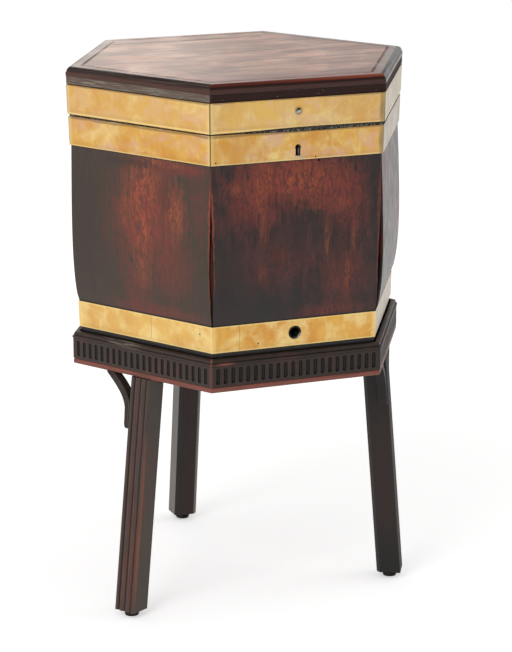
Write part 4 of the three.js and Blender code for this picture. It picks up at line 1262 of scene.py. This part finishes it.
class CELLARETTE_OT_lid_board(Builder, bpy.types.Operator):
    """Moulded board of the lid: a rounded upper edge over a plain core"""

    bl_idname = "cellarette.lid_board"
    bl_label = "Lid board"

    def execute(self, context):
        size = self.sizes(context)
        ease = size.eased_edge
        edge = BOARD_HIGH.y - MIDDLE.y
        foot, top = BOARD_LOW.z, BOARD_HIGH.z
        core = edge - size.core_setback
        step = foot + size.core_height
        roll_foot = top - size.ovolo_height
        roll_out = edge - size.ovolo_fillet
        middle = (roll_out - size.ovolo_width, roll_foot)
        roll = arc(middle, (size.ovolo_width, size.ovolo_height), 0, 90, 12)
        section = [
            (0, foot), (core - 2 * ease, foot), (core, foot + 2 * ease), (core, step - ease / 2),
            (edge - 0.75 * ease, step), (edge, step + ease), (edge, roll_foot - 1.5 * ease),
            (edge - ease, roll_foot), *roll, (0, top),
        ]
        board = hexagonal("lid_board_moulded", section, closed=False)
        smooth(board, 32)
        place(board, "lid", "lid_wood", lid_wood(self.look(context), size), "lid_board")
        return {"FINISHED"}


# How far each side's brass reaches into the gap between lid and case, both in millimetres:
# places along the side, and the reach at each
GAP_FILL = {
    "front_left": ((-120, 1.3), (-60, 1.4), (0, 1.5), (60, 1.7), (120, 1.8)),
    "front": ((-120, 1.8), (-80, 1.6), (-40, 0.6), (0, -0.3), (40, -0.2), (80, 0.3), (120, 0.6)),
    "front_right": ((-120, 0.9), (120, 0.9)),
}


def reach_at(table, along):
    """Value between the entries of a table of places and values, nothing outside it."""
    for (start, low), (end, high) in zip(table, table[1:]):
        if start <= along <= end:
            return low + (high - low) * (along - start) / (end - start)
    return 0.0


def reshape_edge(strip, z, table, up):
    """Moves the corners of a strip's edge up or down, column by column."""
    for column in sorted({round(v.co.x, 4) for v in strip.data.vertices}):
        edit_some(
            strip, "vertices",
            lambda v: abs(v.co.z - z) < EDGE_ROOM and round(v.co.x, 4) == column,
        )
        reach = reach_at(table, column * 1000) / 1000
        bpy.ops.transform.translate(value=(0, 0, up * reach))
        leave()


def strips(name, node, size, seed, holes):
    """Six mitred strips of brass round a body, with holes through the front one."""
    section = section_of(node)
    up = -1 if node.startswith("lid") else 1
    gap_edge = section[0][1] if up < 0 else section[2][1]
    made = []
    for number, side in enumerate(SIDES):
        strip = mitred(f"{name}_{side}", section, size.mitre_gap, STRIP_CUTS)
        if side in GAP_FILL:
            reshape_edge(strip, gap_edge, GAP_FILL[side], up)
        roughen(strip, size.brass_waver, seed + number)
        if side == "front":
            carve(strip, *holes())
        soften(strip, size.brass_softness, 2, 40)
        turned(strip, side)
        made.append(strip)
    return made


def pin_rows(section, inset, places):
    """Places of a strip's pins, in a row along each of its edges."""
    low, high = section[0][1], section[2][1]
    return [(along, z) for z in (low + inset, high - inset) for along in places]


def pins(name, section, size, places, side):
    """Brass pins that stand slightly proud of a strip's face."""
    made = []
    for along, z in places:
        out = outer_at(section, z)
        deselect()
        bpy.ops.mesh.primitive_uv_sphere_add(
            segments=12, ring_count=6, radius=size.pin_radius,
            location=(along, MIDDLE.y - out, z), rotation=(math.pi / 2, 0, 0),
        )
        pin = bpy.context.active_object
        pin.scale = (1, 1, size.pin_proud / size.pin_radius)
        settle(pin)
        made.append(pin)
    whole = turned(joined(made, name), side)
    smooth(whole, 60)
    return whole


def rod_out(name, radius, along, z, start, end, vertices=28):
    """A round rod that runs outwards through the front side."""
    deselect()
    bpy.ops.mesh.primitive_cylinder_add(
        vertices=vertices, radius=radius, depth=end - start,
        location=(along, MIDDLE.y - (start + end) / 2, z), rotation=(math.pi / 2, 0, 0),
    )
    piece = named(bpy.context.active_object, name)
    settle(piece)
    return piece


def keyhole_cutters(size, start, end):
    """Round top and slot of the keyhole."""
    top = size.keyhole_middle + size.keyhole_height / 2
    foot = size.keyhole_middle - size.keyhole_height / 2
    middle = top - size.keyhole_round
    half = size.keyhole_slot / 2
    return [
        rod_out("keyhole_round", size.keyhole_round, 0, middle, start, end),
        block("keyhole_slot", (-half, MIDDLE.y - end, foot), (half, MIDDLE.y - start, middle)),
    ]


def nail_hole(size, along, z, out):
    start, end = out - size.nail_depth, out + size.nail_depth
    return rod_out("nail_hole", size.nail_radius, along, z, start, end, 12)


def drain_hole(size, start, end):
    """Cutter for the hole that the drain bush passes through."""
    low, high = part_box("drain_bush")
    radius = (high.z - low.z) / 2 + size.clearance
    return rod_out("drain_hole", radius, 0, (low.z + high.z) / 2, start, end)


def slit(name, size, start, width, out, low, high):
    """Cutter for a thin upright line in the face of a band."""
    front = MIDDLE.y - out - size.slit_reach
    back = MIDDLE.y - out + size.slit_depth
    return block(name, (start, front, low), (start + width, back, high))


class CELLARETTE_OT_lid_bands(Builder, bpy.types.Operator):
    """Six brass strips round the lid with their pins"""

    bl_idname = "cellarette.lid_bands"
    bl_label = "Lid bands"

    def execute(self, context):
        size = self.sizes(context)
        section = section_of("lid_band_front")
        out = section[1][0]
        low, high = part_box("lid_stud")
        middle = (low.z + high.z) / 2

        def stud_hole():
            start, end = out - size.overcut, out + size.overcut
            return [rod_out("stud_hole", size.stud_hole, 0, middle, start, end)]

        made = strips("lid_strip", "lid_band_front", size, LID_SEED, stud_hole)
        finish = brass(self.look(context))
        places = pin_rows(section, size.pin_inset, LID_PINS)
        for strip, side in zip(made, SIDES):
            place(strip, "lid", "brass", finish, f"lid_band_{side}")
            place(pins(f"lid_pins_{side}", section, size, places, side), "lid", "brass", finish)
        return {"FINISHED"}


class CELLARETTE_OT_lid_stud(Builder, bpy.types.Operator):
    """Small steel stud in the front strip of the lid"""

    bl_idname = "cellarette.lid_stud"
    bl_label = "Lid stud"

    def execute(self, context):
        size = self.sizes(context)
        ease = size.eased_edge
        low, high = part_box("lid_stud")
        z = (low.z + high.z) / 2
        radius = (high.z - low.z) / 2
        front, back = low.y, high.y
        face = front + size.stud_head
        outline = [
            (0, back, z), (size.stud_stem, back, z), (size.stud_stem, face, z),
            (radius - ease / 2, face, z), (radius, face - ease / 2, z),
            (radius - 0.75 * ease, face - 1.375 * ease, z), (radius * 0.7, front + 0.625 * ease, z),
            (radius * 0.38, front + 0.125 * ease, z), (0, front, z),
        ]
        stud = spun("lid_stud_domed", outline, 32, False, (0, 1, 0), (0, 0, z))
        smooth(stud, 50)
        look = self.look(context)
        steel = worn_metal("Rubbed steel", look.steel, look.iron, 0.2, 300)
        place(stud, "lid", "steel", steel, "lid_stud")
        return {"FINISHED"}


# Half widths of a crack from its foot to its top, on its left and right edge, as shares
CRACK_LEFT = (0.03, 0.22, 0.3, 0.52, 0.5, 0.78, 0.86, 1.0, 0.84, 0.9, 0.62, 0.6, 0.36, 0.3, 0.12, 0.03)
CRACK_RIGHT = (0.03, 0.14, 0.34, 0.4, 0.66, 0.7, 0.98, 0.9, 0.96, 0.7, 0.74, 0.48, 0.46, 0.2, 0.16, 0.03)


def crack(size, hand, scale):
    """A long ragged opening along the joint at a front corner."""
    out = outer_at(section_of("case_side_front"), size.crack_height)
    corner = Vector((hand * out * TAN, MIDDLE.y - out, size.crack_height))
    outward = Vector((hand * SIN, -COS, 0))
    along = Vector((COS, hand * SIN, 0))
    steps = len(CRACK_LEFT) - 1
    points = []
    for i, (left, right) in enumerate(zip(CRACK_LEFT, CRACK_RIGHT)):
        rise = Vector((0, 0, size.crack_length * scale * (i / steps - 0.5)))
        half = size.crack_width * scale / 2
        start = corner - outward * size.crack_depth + rise
        points.insert(0, start - along * half * left)
        points.append(start + along * half * right)
    return extruded("crack", points, outward * 2 * size.crack_depth)


def grown(node, margin, up=0.0):
    """Cutter as large as a CAD node and a margin, with more room over it."""
    low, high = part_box(node)
    room = Vector((margin, margin, margin))
    return block(f"room_{node}", low - room, high + room + Vector((0, 0, up)))


def bow_of(side, foot, top, low, high):
    """How far a side's board has bowed outwards, read from the frame."""
    points = fronted(f"case_side_{side}", side)
    return max(-p.y - foot - (top - foot) * (p.z - low) / (high - low) for p in points)


class CELLARETTE_OT_case_boards(Builder, bpy.types.Operator):
    """Six bowed and mitred boards of the case, with cracks, keyhole and drain hole"""

    bl_idname = "cellarette.case_boards"
    bl_label = "Side boards"

    def execute(self, context):
        size = self.sizes(context)
        (inner, low), (foot, _), (top, high), (inner_top, _) = section_of("case_side_front")
        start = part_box("case_foot_band")[1].z + size.clearance
        end = section_of("case_band_front")[0][1] - size.clearance
        finish = case_wood(self.look(context))
        for side in SIDES:
            swell = bow_of(side, foot, top, low, high)
            bowed = []
            for i in range(BOW_STEPS + 1):
                part = i / BOW_STEPS
                z = start + (end - start) * part
                flat = foot + (top - foot) * (z - low) / (high - low)
                bowed.append((flat + swell * math.sin(math.pi * part ** size.bow_lowering), z))
            section = [(inner, low), (foot, low), *bowed, (top, high), (inner_top, high)]
            board = mitred(f"case_board_{side}", section, size.mitre_gap)
            if side == "front":
                carve(board, crack(size, -1, 1), crack(size, 1, size.crack_right))
                beyond = top + size.overcut
                carve(board, *keyhole_cutters(size, inner_top + size.keyhole_skin, beyond))
                carve(board, grown("lock_case", size.clearance, size.lock_room))
                carve(board, drain_hole(size, inner - size.overcut, foot + size.overcut))
                carve(board, rod_out("worm_hole", size.worm_radius, *WORM_HOLE, foot, beyond, 12))
            if side == "front_left":
                carve(board, crack(size, 1, 1))
            if side == "front_right":
                carve(board, crack(size, -1, size.crack_right))
            soften(board, size.wood_softness, 2, 45)
            turned(board, side)
            if side == "back":
                leaves = [f"hinge_leaf_case_{hand}" for hand in ("left", "right")]
                carve(board, *[grown(leaf, size.clearance) for leaf in leaves])
            place(board, "case", "case_wood", finish, f"case_side_{side}")
        return {"FINISHED"}


class CELLARETTE_OT_case_bands(Builder, bpy.types.Operator):
    """Six brass strips round the top of the case, with the keyhole, pins and nail holes"""

    bl_idname = "cellarette.case_bands"
    bl_label = "Upper bands"

    def execute(self, context):
        size = self.sizes(context)
        section = section_of("case_band_front")
        out = section[1][0]

        def front_holes():
            start, end = out - size.overcut, out + size.overcut
            nails = [nail_hole(size, along, z, out) for along, z in CASE_NAILS]
            return [*keyhole_cutters(size, start, end), *nails]

        made = strips("case_strip", "case_band_front", size, CASE_SEED, front_holes)
        finish = brass(self.look(context))
        for strip, side in zip(made, SIDES):
            place(strip, "case", "brass", finish, f"case_band_{side}")
            places = pin_rows(section, size.pin_inset, CASE_PINS)
            if side == "front":
                places = [spot for spot in places if abs(spot[0]) > size.keyhole_slot]
            place(pins(f"case_pins_{side}", section, size, places, side), "case", "brass", finish)
        return {"FINISHED"}


class CELLARETTE_OT_foot_band(Builder, bpy.types.Operator):
    """Brass band bent round the foot of the case, with its lap, split and nail holes"""

    bl_idname = "cellarette.foot_band"
    bl_label = "Foot band"

    def execute(self, context):
        size = self.sizes(context)
        low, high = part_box("case_foot_band")
        # The band runs all round, so only its outer distances are those of the front side
        _, (foot, _), (top, _), _ = section_of("case_foot_band")
        thick = size.foot_thickness
        section = [(foot - thick, low.z), (foot, low.z), (top, high.z), (top - thick, high.z)]
        band = hexagonal("foot_band_bent", section)
        under, over = low.z - size.slit_overrun, high.z + size.slit_overrun
        carve(
            band,
            drain_hole(size, foot - size.overcut, foot + size.overcut),
            nail_hole(size, *FRONT_FOOT_NAIL, foot),
            slit("lap", size, LAP_START, size.lap_width, foot, under, over),
        )
        split_foot = low.z + size.split_foot
        side_cuts = [
            nail_hole(size, *SIDE_FOOT_NAIL, foot),
            slit("split", size, SPLIT_START, size.split_width, foot, split_foot, over),
        ]
        carve(band, *[turned(cutter, "front_left") for cutter in side_cuts])
        soften(band, size.eased_edge / 2, 2, 40)
        finish = brass(self.look(context))
        place(band, "case", "brass", finish, "case_foot_band")
        places = pin_rows(section, size.foot_pin_inset, FOOT_PINS)
        for side in SIDES:
            place(pins(f"foot_pins_{side}", section, size, places, side), "case", "brass", finish)
        return {"FINISHED"}


class CELLARETTE_OT_drain(Builder, bpy.types.Operator):
    """Drain bush with a rounded lip, through the front of the case"""

    bl_idname = "cellarette.drain"
    bl_label = "Drain bush"

    def execute(self, context):
        size = self.sizes(context)
        ease = size.eased_edge
        low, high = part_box("drain_bush")
        z = (low.z + high.z) / 2
        outer = (high.z - low.z) / 2
        bore = outer - size.drain_wall
        front, back = low.y, high.y
        outline = [
            (bore, back, z), (outer, back, z), (outer, front + 1.25 * ease, z),
            (outer - 0.75 * ease, front + ease / 4, z), (outer - 2.25 * ease, front, z),
            (bore + ease, front + ease / 2, z), (bore, front + 2.25 * ease, z),
        ]
        bush = spun("drain_bush_lipped", outline, 40, True, (0, 1, 0), (0, 0, z))
        smooth(bush, 50)
        look = self.look(context)
        # Painted highlight: a bright oval low on the right of the bush
        shine = size.drain_shine
        lit = ((shine, z - shine), (2 * shine, 1.5 * shine))
        metal = worn_metal("Drain metal", look.steel, look.dirt_and_shade, 0.36, 260, lit)
        place(bush, "case", "iron", metal, "drain_bush")
        return {"FINISHED"}


def flutes(size, number, face, foot):
    """Cutter for a row of upright flutes with round ends."""
    radius = size.flute_width / 2
    deselect()
    bpy.ops.mesh.primitive_uv_sphere_add(segments=16, ring_count=8, radius=radius)
    cutter = named(bpy.context.active_object, "flute")
    edit_some(cutter, "vertices", lambda vertex: vertex.co.z > TOUCH / 2)
    rise = (0, 0, size.flute_length - 2 * radius)
    bpy.ops.mesh.extrude_region_move(TRANSFORM_OT_translate={"value": rise})
    close_up()
    start = (1 - number) / 2 * size.flute_pitch
    out = face + radius * size.flute_proud
    cutter.location = (start, MIDDLE.y - out, foot + radius)
    settle(cutter)
    modify(
        cutter, "ARRAY", count=number, use_relative_offset=False, use_constant_offset=True,
        constant_offset_displace=(size.flute_pitch, 0, 0),
    )
    return cutter


class CELLARETTE_OT_rails(Builder, bpy.types.Operator):
    """Six rails of the stand with their rows of blind flutes"""

    bl_idname = "cellarette.rails"
    bl_label = "Fluted rails"

    def execute(self, context):
        size = self.sizes(context)
        points = [(MIDDLE.y - v.co.y, v.co.z) for v in NODES["stand_rail_front"].data.vertices]
        low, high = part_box("stand_rail_front")
        face = MIDDLE.y - low.y
        inner = min(out for out, z in points)
        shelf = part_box("stand_bead")[1].z + size.clearance
        bead_back = max(out for out, z in points if z < low.z + TOUCH)
        section = [
            (face, shelf), (face, high.z), (inner, high.z),
            (inner, low.z), (bead_back, low.z), (bead_back, shelf),
        ]
        rail = mitred("stand_rail_fluted", section, size.mitre_gap)
        half = int((face * TAN - size.flute_pitch / 2) / size.flute_pitch + 0.5)
        carve(rail, flutes(size, 2 * half, face, shelf + size.flute_rise))
        soften(rail, size.flute_lip, 3, 35)
        finish = stand_wood(self.look(context))
        for side in SIDES[1:]:
            other = turned(copied(rail, f"stand_rail_fluted_{side}"), side)
            place(other, "stand", "stand_wood", finish, f"stand_rail_{side}")
        place(rail, "stand", "stand_wood", finish, "stand_rail_front")
        return {"FINISHED"}


class CELLARETTE_OT_mouldings(Builder, bpy.types.Operator):
    """Rim round the case's foot and bead under the rails"""

    bl_idname = "cellarette.mouldings"
    bl_label = "Stand mouldings"

    def execute(self, context):
        size = self.sizes(context)
        look = self.look(context)
        face = MIDDLE.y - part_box("stand_rail_front")[0].y
        low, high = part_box("stand_rim")
        inner = ring_inner("stand_rim")
        bead_top = low.z + size.rim_bead
        quirk_top = bead_top + size.rim_quirk
        shoulder = face - size.rim_quirk
        proud = (high.y - low.y) / 2 - face
        section = [
            (inner, low.z), (face - size.eased_edge / 4, low.z),
            *arc((face, (low.z + bead_top) / 2), (proud, size.rim_bead / 2), -80, 80, 8),
            (shoulder - size.rim_quirk, bead_top), (shoulder - size.rim_quirk, quirk_top),
            *arc(
                (inner + size.rim_top, quirk_top),
                (shoulder - inner - size.rim_top, high.z - quirk_top), 0, 90, 10,
            ),
            (inner, high.z),
        ]
        rim = hexagonal("stand_rim_moulded", section)
        soften(rim, size.eased_edge, 2, 50)
        place(rim, "stand", "stand_wood", stand_wood(look), "stand_rim")

        low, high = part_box("stand_bead")
        back = ring_inner("stand_bead")
        depth = size.bead_round
        middle = ((high.y - low.y) / 2 - depth, (low.z + high.z) / 2)
        rounded = arc(middle, (depth, (high.z - low.z) / 2), -90, 90, 10)
        section = [(back, low.z), *rounded, (back, high.z)]
        bead = hexagonal("stand_bead_moulded", section)
        smooth(bead, 40)
        place(bead, "stand", "bead_wood", stand_wood(look, "Bead wood", True), "stand_bead")
        return {"FINISHED"}


def leg_span(side):
    """Foot, top, outer face, outward spread and half width of a leg, read from the frame."""
    points = fronted(f"leg_{side}", side)
    low = min(p.z for p in points)
    foot = [p for p in points if p.z < low + TOUCH]
    face = max(-p.y for p in foot)
    half = max(p.x for p in foot)
    wide = [p for p in points if p.x > half - TOUCH]
    top = max(p.z for p in wide)
    top_inner = min(-p.y for p in wide if p.z > top - TOUCH)
    foot_inner = min(-p.y for p in wide if p.z < low + TOUCH)
    return low, top, face - (foot_inner - top_inner), foot_inner - top_inner, half


class CELLARETTE_OT_legs(Builder, bpy.types.Operator):
    """Three splayed legs with reeded outer faces"""

    bl_idname = "cellarette.legs"
    bl_label = "Legs"

    def execute(self, context):
        size = self.sizes(context)
        finish = leg_wood(self.look(context), size)
        for side in LEG_SIDES:
            low, top, face, spread, half = leg_span(side)
            outline = []
            left = -half
            for part in REED_SHARES:
                reach = half * part
                middle = (left + reach, face - size.reed_relief)
                points = arc(middle, (reach, size.reed_relief), 180, 0, 10)
                outline += points if not outline else points[1:]
                left += 2 * reach
            back = face - size.leg_depth
            outline += [
                (half, back + size.leg_chamfer), (half - size.leg_chamfer, back),
                (size.leg_chamfer - half, back), (-half, back + size.leg_chamfer),
            ]
            corners = [(x, MIDDLE.y - out, top) for x, out in outline]
            leg = extruded(f"leg_reeded_{side}", corners, (0, -spread, low - top))
            soften(leg, size.wood_softness, 2, 38)
            turned(leg, side)
            place(leg, "stand", "stand_wood", finish, f"leg_{side}")
        return {"FINISHED"}


class CELLARETTE_OT_brackets(Builder, bpy.types.Operator):
    """Open curved brackets with a beaded edge, and the stub of the lost one"""

    bl_idname = "cellarette.brackets"
    bl_label = "Brackets"

    def execute(self, context):
        size = self.sizes(context)
        finish = leg_wood(self.look(context), size)
        outline = [*curve_by(BRACKET_OUTER, 14), *BRACKET_TAIL, *curve_by(BRACKET_INNER, 12)]
        for side in LEG_SIDES:
            low, top, face, spread, half = leg_span(side)
            for hand, word in ((-1, "left"), (1, "right")):
                node = f"bracket_{side}_{word}"
                if node not in NODES:
                    continue
                front = face - size.bracket_setback
                corners = []
                for across, down in outline:
                    reach = half + size.clearance + size.bracket_reach * across
                    drop = size.bracket_drop * down
                    lean = spread * drop / (top - low)
                    corners.append((hand * reach, MIDDLE.y - front - lean, top - drop))
                thick = (0, size.bracket_depth, 0)
                bracket = extruded(f"bracket_curved_{side}_{word}", corners, thick)
                soften(bracket, size.wood_softness, 2, 40)
                bead_face(bracket, size)
                turned(bracket, side)
                place(bracket, "stand", "stand_wood", finish, node)
        stub(size, finish)
        return {"FINISHED"}


def bead_face(bracket, size):
    """Sinks a groove inside the edge of a bracket's front face."""
    largest = sorted(bracket.data.polygons, key=lambda face: face.area)[-2:]
    front = min(largest, key=lambda face: face.center.y).index
    edit_some(bracket, "polygons", lambda face: face.index == front)
    bpy.ops.mesh.select_mode(type="FACE")
    steps = (
        (size.bracket_margin, 0),
        (size.bracket_slope, -size.bracket_groove),
        (size.bracket_slope, size.bracket_bead),
    )
    for width, depth in steps:
        bpy.ops.mesh.inset(thickness=width, depth=depth, use_even_offset=False)
    bpy.ops.mesh.select_mode(type="VERT")
    leave()


def stub(size, finish):
    """Broken end of the lost bracket, left at the top of the front left leg."""
    points = fronted("bracket_front_left_stub", "front_left")
    least = Vector((min(p[k] for p in points) for k in range(3)))
    most = Vector((max(p[k] for p in points) for k in range(3)))
    most.y = least.y + size.stub_depth
    deselect()
    bpy.ops.mesh.primitive_cube_add(size=1, location=(0, 0, 0))
    piece = named(bpy.context.active_object, "bracket_stub_broken")
    piece.scale = (most - least) * size.stub_share
    piece.location = (least + most) / 2 + MIDDLE
    settle(piece)
    edit()
    bpy.ops.mesh.subdivide(number_cuts=4)
    leave()
    roughen(piece, size.stub_waver, STUB_SEED)
    soften(piece, size.stub_softness, 1, 60)
    turned(piece, "front_left")
    place(piece, "stand", "stand_wood", finish, "bracket_front_left_stub")


class CELLARETTE_OT_glides(Builder, bpy.types.Operator):
    """Round glides under the legs"""

    bl_idname = "cellarette.glides"
    bl_label = "Glides"

    def execute(self, context):
        look = self.look(context)
        finish = worn_metal("Dark iron", look.iron, look.dirt_and_shade, 0.5, 200)
        for side in LEG_SIDES:
            low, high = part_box(f"glide_{side}")
            middle = (low + high) / 2
            radius = (high.x - low.x) / 2
            outline = [(middle.x + radius * r, middle.y, high.z * z) for r, z in GLIDE_SHARES]
            glide = spun(f"glide_turned_{side}", outline, 32, False, (0, 0, 1), (middle.x, middle.y, 0))
            smooth(glide, 50)
            place(glide, "stand", "iron", finish, f"glide_{side}")
        return {"FINISHED"}


class CELLARETTE_OT_fittings(Builder, bpy.types.Operator):
    """Finishes of the lock, hinges, lining and inner wood"""

    bl_idname = "cellarette.fittings"
    bl_label = "Fittings"

    def execute(self, context):
        look = self.look(context)
        steel = worn_metal("Lock steel", look.steel, look.iron, 0.4, 90)
        lead = worn_metal("Sheet lead", look.lead, look.steel, 0.55, 22)
        dress(steel, "lock_case", "lock_bolt", "lock_strike")
        dress(lead, "case_lining")
        leaves = [f"hinge_leaf_{body}_{hand}" for body in ("case", "lid") for hand in ("left", "right")]
        dress(brass(look), *leaves)
        dress(inner_wood(look), "lid_frame", "case_floor")
        return {"FINISHED"}


class CELLARETTE_OT_stage(bpy.types.Operator):
    """Pale floor, even light, two large lamps and the camera"""

    bl_idname = "cellarette.stage"
    bl_label = "Stage"
    bl_options = {"REGISTER", "UNDO"}

    def execute(self, context):
        stage = context.scene.cellarette_stage
        scene = context.scene
        scene.view_settings.view_transform = "Standard"
        deselect()
        bpy.ops.mesh.primitive_plane_add(size=stage.floor_size)
        floor = named(bpy.context.active_object, "floor")
        floor.data.materials.append(self.floor_finish(stage))
        self.room(stage)
        self.lamp("key", stage.key_power, stage.key_place, stage.key_width)
        self.lamp("fill", stage.fill_power, stage.fill_place, stage.fill_width)
        sheen = self.lamp("sheen", stage.sheen_power, stage.sheen_place, stage.sheen_width)
        sheen.color = SHEEN_TINT
        bpy.ops.object.camera_add(
            location=stage.camera_place,
            rotation=(math.pi / 2 - stage.camera_pitch, 0, stage.camera_turn),
        )
        camera = named(bpy.context.active_object, "camera")
        camera.data.lens = stage.camera_lens
        camera.data.sensor_width = SENSOR_WIDTH
        camera.data.clip_end = FAR_LIMIT
        scene.camera = camera
        return {"FINISHED"}

    def floor_finish(self, stage):
        """Pale floor that the camera and polished metal see as white, with its shadows kept."""
        made, paint, shader = material("Floor", 0.9, specular=0.1)
        shader.inputs["Base Color"].default_value = stage.floor_white
        path = paint.node("LightPath")
        seen = paint.either(path.outputs["Is Camera Ray"], path.outputs["Is Glossy Ray"])
        seen = paint.either(seen, path.outputs["Is Transmission Ray"])
        far = paint.node("VectorMath", paint.here(), operation="LENGTH").outputs["Value"]
        white = paint.plus(stage.floor_glow, paint.both(paint.fade(far, 0.5, 1.4), 0.07))
        glow = paint.node("Emission", (1, 1, 1, 1), paint.both(seen, white))
        whole = paint.node("AddShader", shader.outputs[0], glow.outputs[0])
        output = made.node_tree.nodes["Material Output"]
        made.node_tree.links.new(whole.outputs[0], output.inputs["Surface"])
        return made

    def room(self, stage):
        """Even white room; reflections see it darker behind the camera and overhead."""
        world = bpy.data.worlds.new("Room")
        bpy.context.scene.world = world
        world.use_nodes = True
        tree = world.node_tree
        tree.nodes.clear()
        paint = Paint(tree)
        direction = paint.node("TexCoord").outputs["Generated"]
        ahead = Vector((0.55, -0.83, 0.0)).normalized()
        facing = paint.node("VectorMath", direction, ahead, operation="DOT_PRODUCT")
        facing = facing.outputs["Value"]
        dim = paint.fade(facing, 0.2, 0.85)
        glossy = paint.scaled(dim, 1.0, stage.room_front)
        rise = paint.node("SeparateXYZ", direction).outputs[2]
        glossy = paint.both(glossy, paint.scaled(paint.fade(rise, 0.3, 0.75), 1.0, stage.room_top))
        path = paint.node("LightPath")
        sharp = paint.either(path.outputs["Is Glossy Ray"], path.outputs["Is Transmission Ray"])
        strength = paint.node("MapRange", sharp, 0.0, 1.0, stage.room_light, glossy).outputs[0]
        strength = paint.either(strength, path.outputs["Is Camera Ray"])
        light = paint.node("Background", (1, 1, 1, 1), strength)
        output = paint.node("OutputWorld")
        tree.links.new(light.outputs[0], output.inputs["Surface"])

    def lamp(self, name, power, where, width):
        bpy.ops.object.light_add(type="AREA", location=where)
        lamp = bpy.context.active_object
        lamp.name = name
        lamp.data.energy = power
        lamp.data.size = width
        lamp.rotation_euler = (LAMP_AIM - Vector(where)).to_track_quat("-Z", "Y").to_euler()
        return lamp.data


class CELLARETTE_PT_panel(bpy.types.Panel):
    """Lists the pieces, in the order in which they are made"""

    bl_idname = "CELLARETTE_PT_panel"
    bl_label = "Cellarette"
    bl_space_type = "VIEW_3D"
    bl_region_type = "UI"
    bl_category = "Cellarette"

    def draw(self, context):
        for operator in OPERATORS:
            self.layout.operator(operator.bl_idname)
        for label in GROUPS:
            group = getattr(context.scene, label)
            box = self.layout.box()
            for name in group.bl_rna.properties.keys():
                if name not in ("rna_type", "name"):
                    box.prop(group, name)


OPERATORS = (
    CELLARETTE_OT_stage,
    CELLARETTE_OT_lid_board,
    CELLARETTE_OT_lid_bands,
    CELLARETTE_OT_lid_stud,
    CELLARETTE_OT_case_boards,
    CELLARETTE_OT_case_bands,
    CELLARETTE_OT_foot_band,
    CELLARETTE_OT_drain,
    CELLARETTE_OT_rails,
    CELLARETTE_OT_mouldings,
    CELLARETTE_OT_legs,
    CELLARETTE_OT_brackets,
    CELLARETTE_OT_glides,
    CELLARETTE_OT_fittings,
)
GROUPS = {
    "cellarette_sizes": CellaretteSizes,
    "cellarette_finishes": CellaretteFinishes,
    "cellarette_stage": CellaretteStage,
}


def register():
    for group in GROUPS.values():
        bpy.utils.register_class(group)
    for name, group in GROUPS.items():
        setattr(bpy.types.Scene, name, PointerProperty(type=group))
    for operator in OPERATORS:
        bpy.utils.register_class(operator)
    bpy.utils.register_class(CELLARETTE_PT_panel)


def unregister():
    bpy.utils.unregister_class(CELLARETTE_PT_panel)
    for operator in reversed(OPERATORS):
        bpy.utils.unregister_class(operator)
    for name, group in GROUPS.items():
        delattr(bpy.types.Scene, name)
        bpy.utils.unregister_class(group)


def main():
    register()
    for operator in OPERATORS:
        family, name = operator.bl_idname.split(".")
        getattr(getattr(bpy.ops, family), name)()
    bpy.context.view_layer.update()


if __name__ == "__main__":
    main()
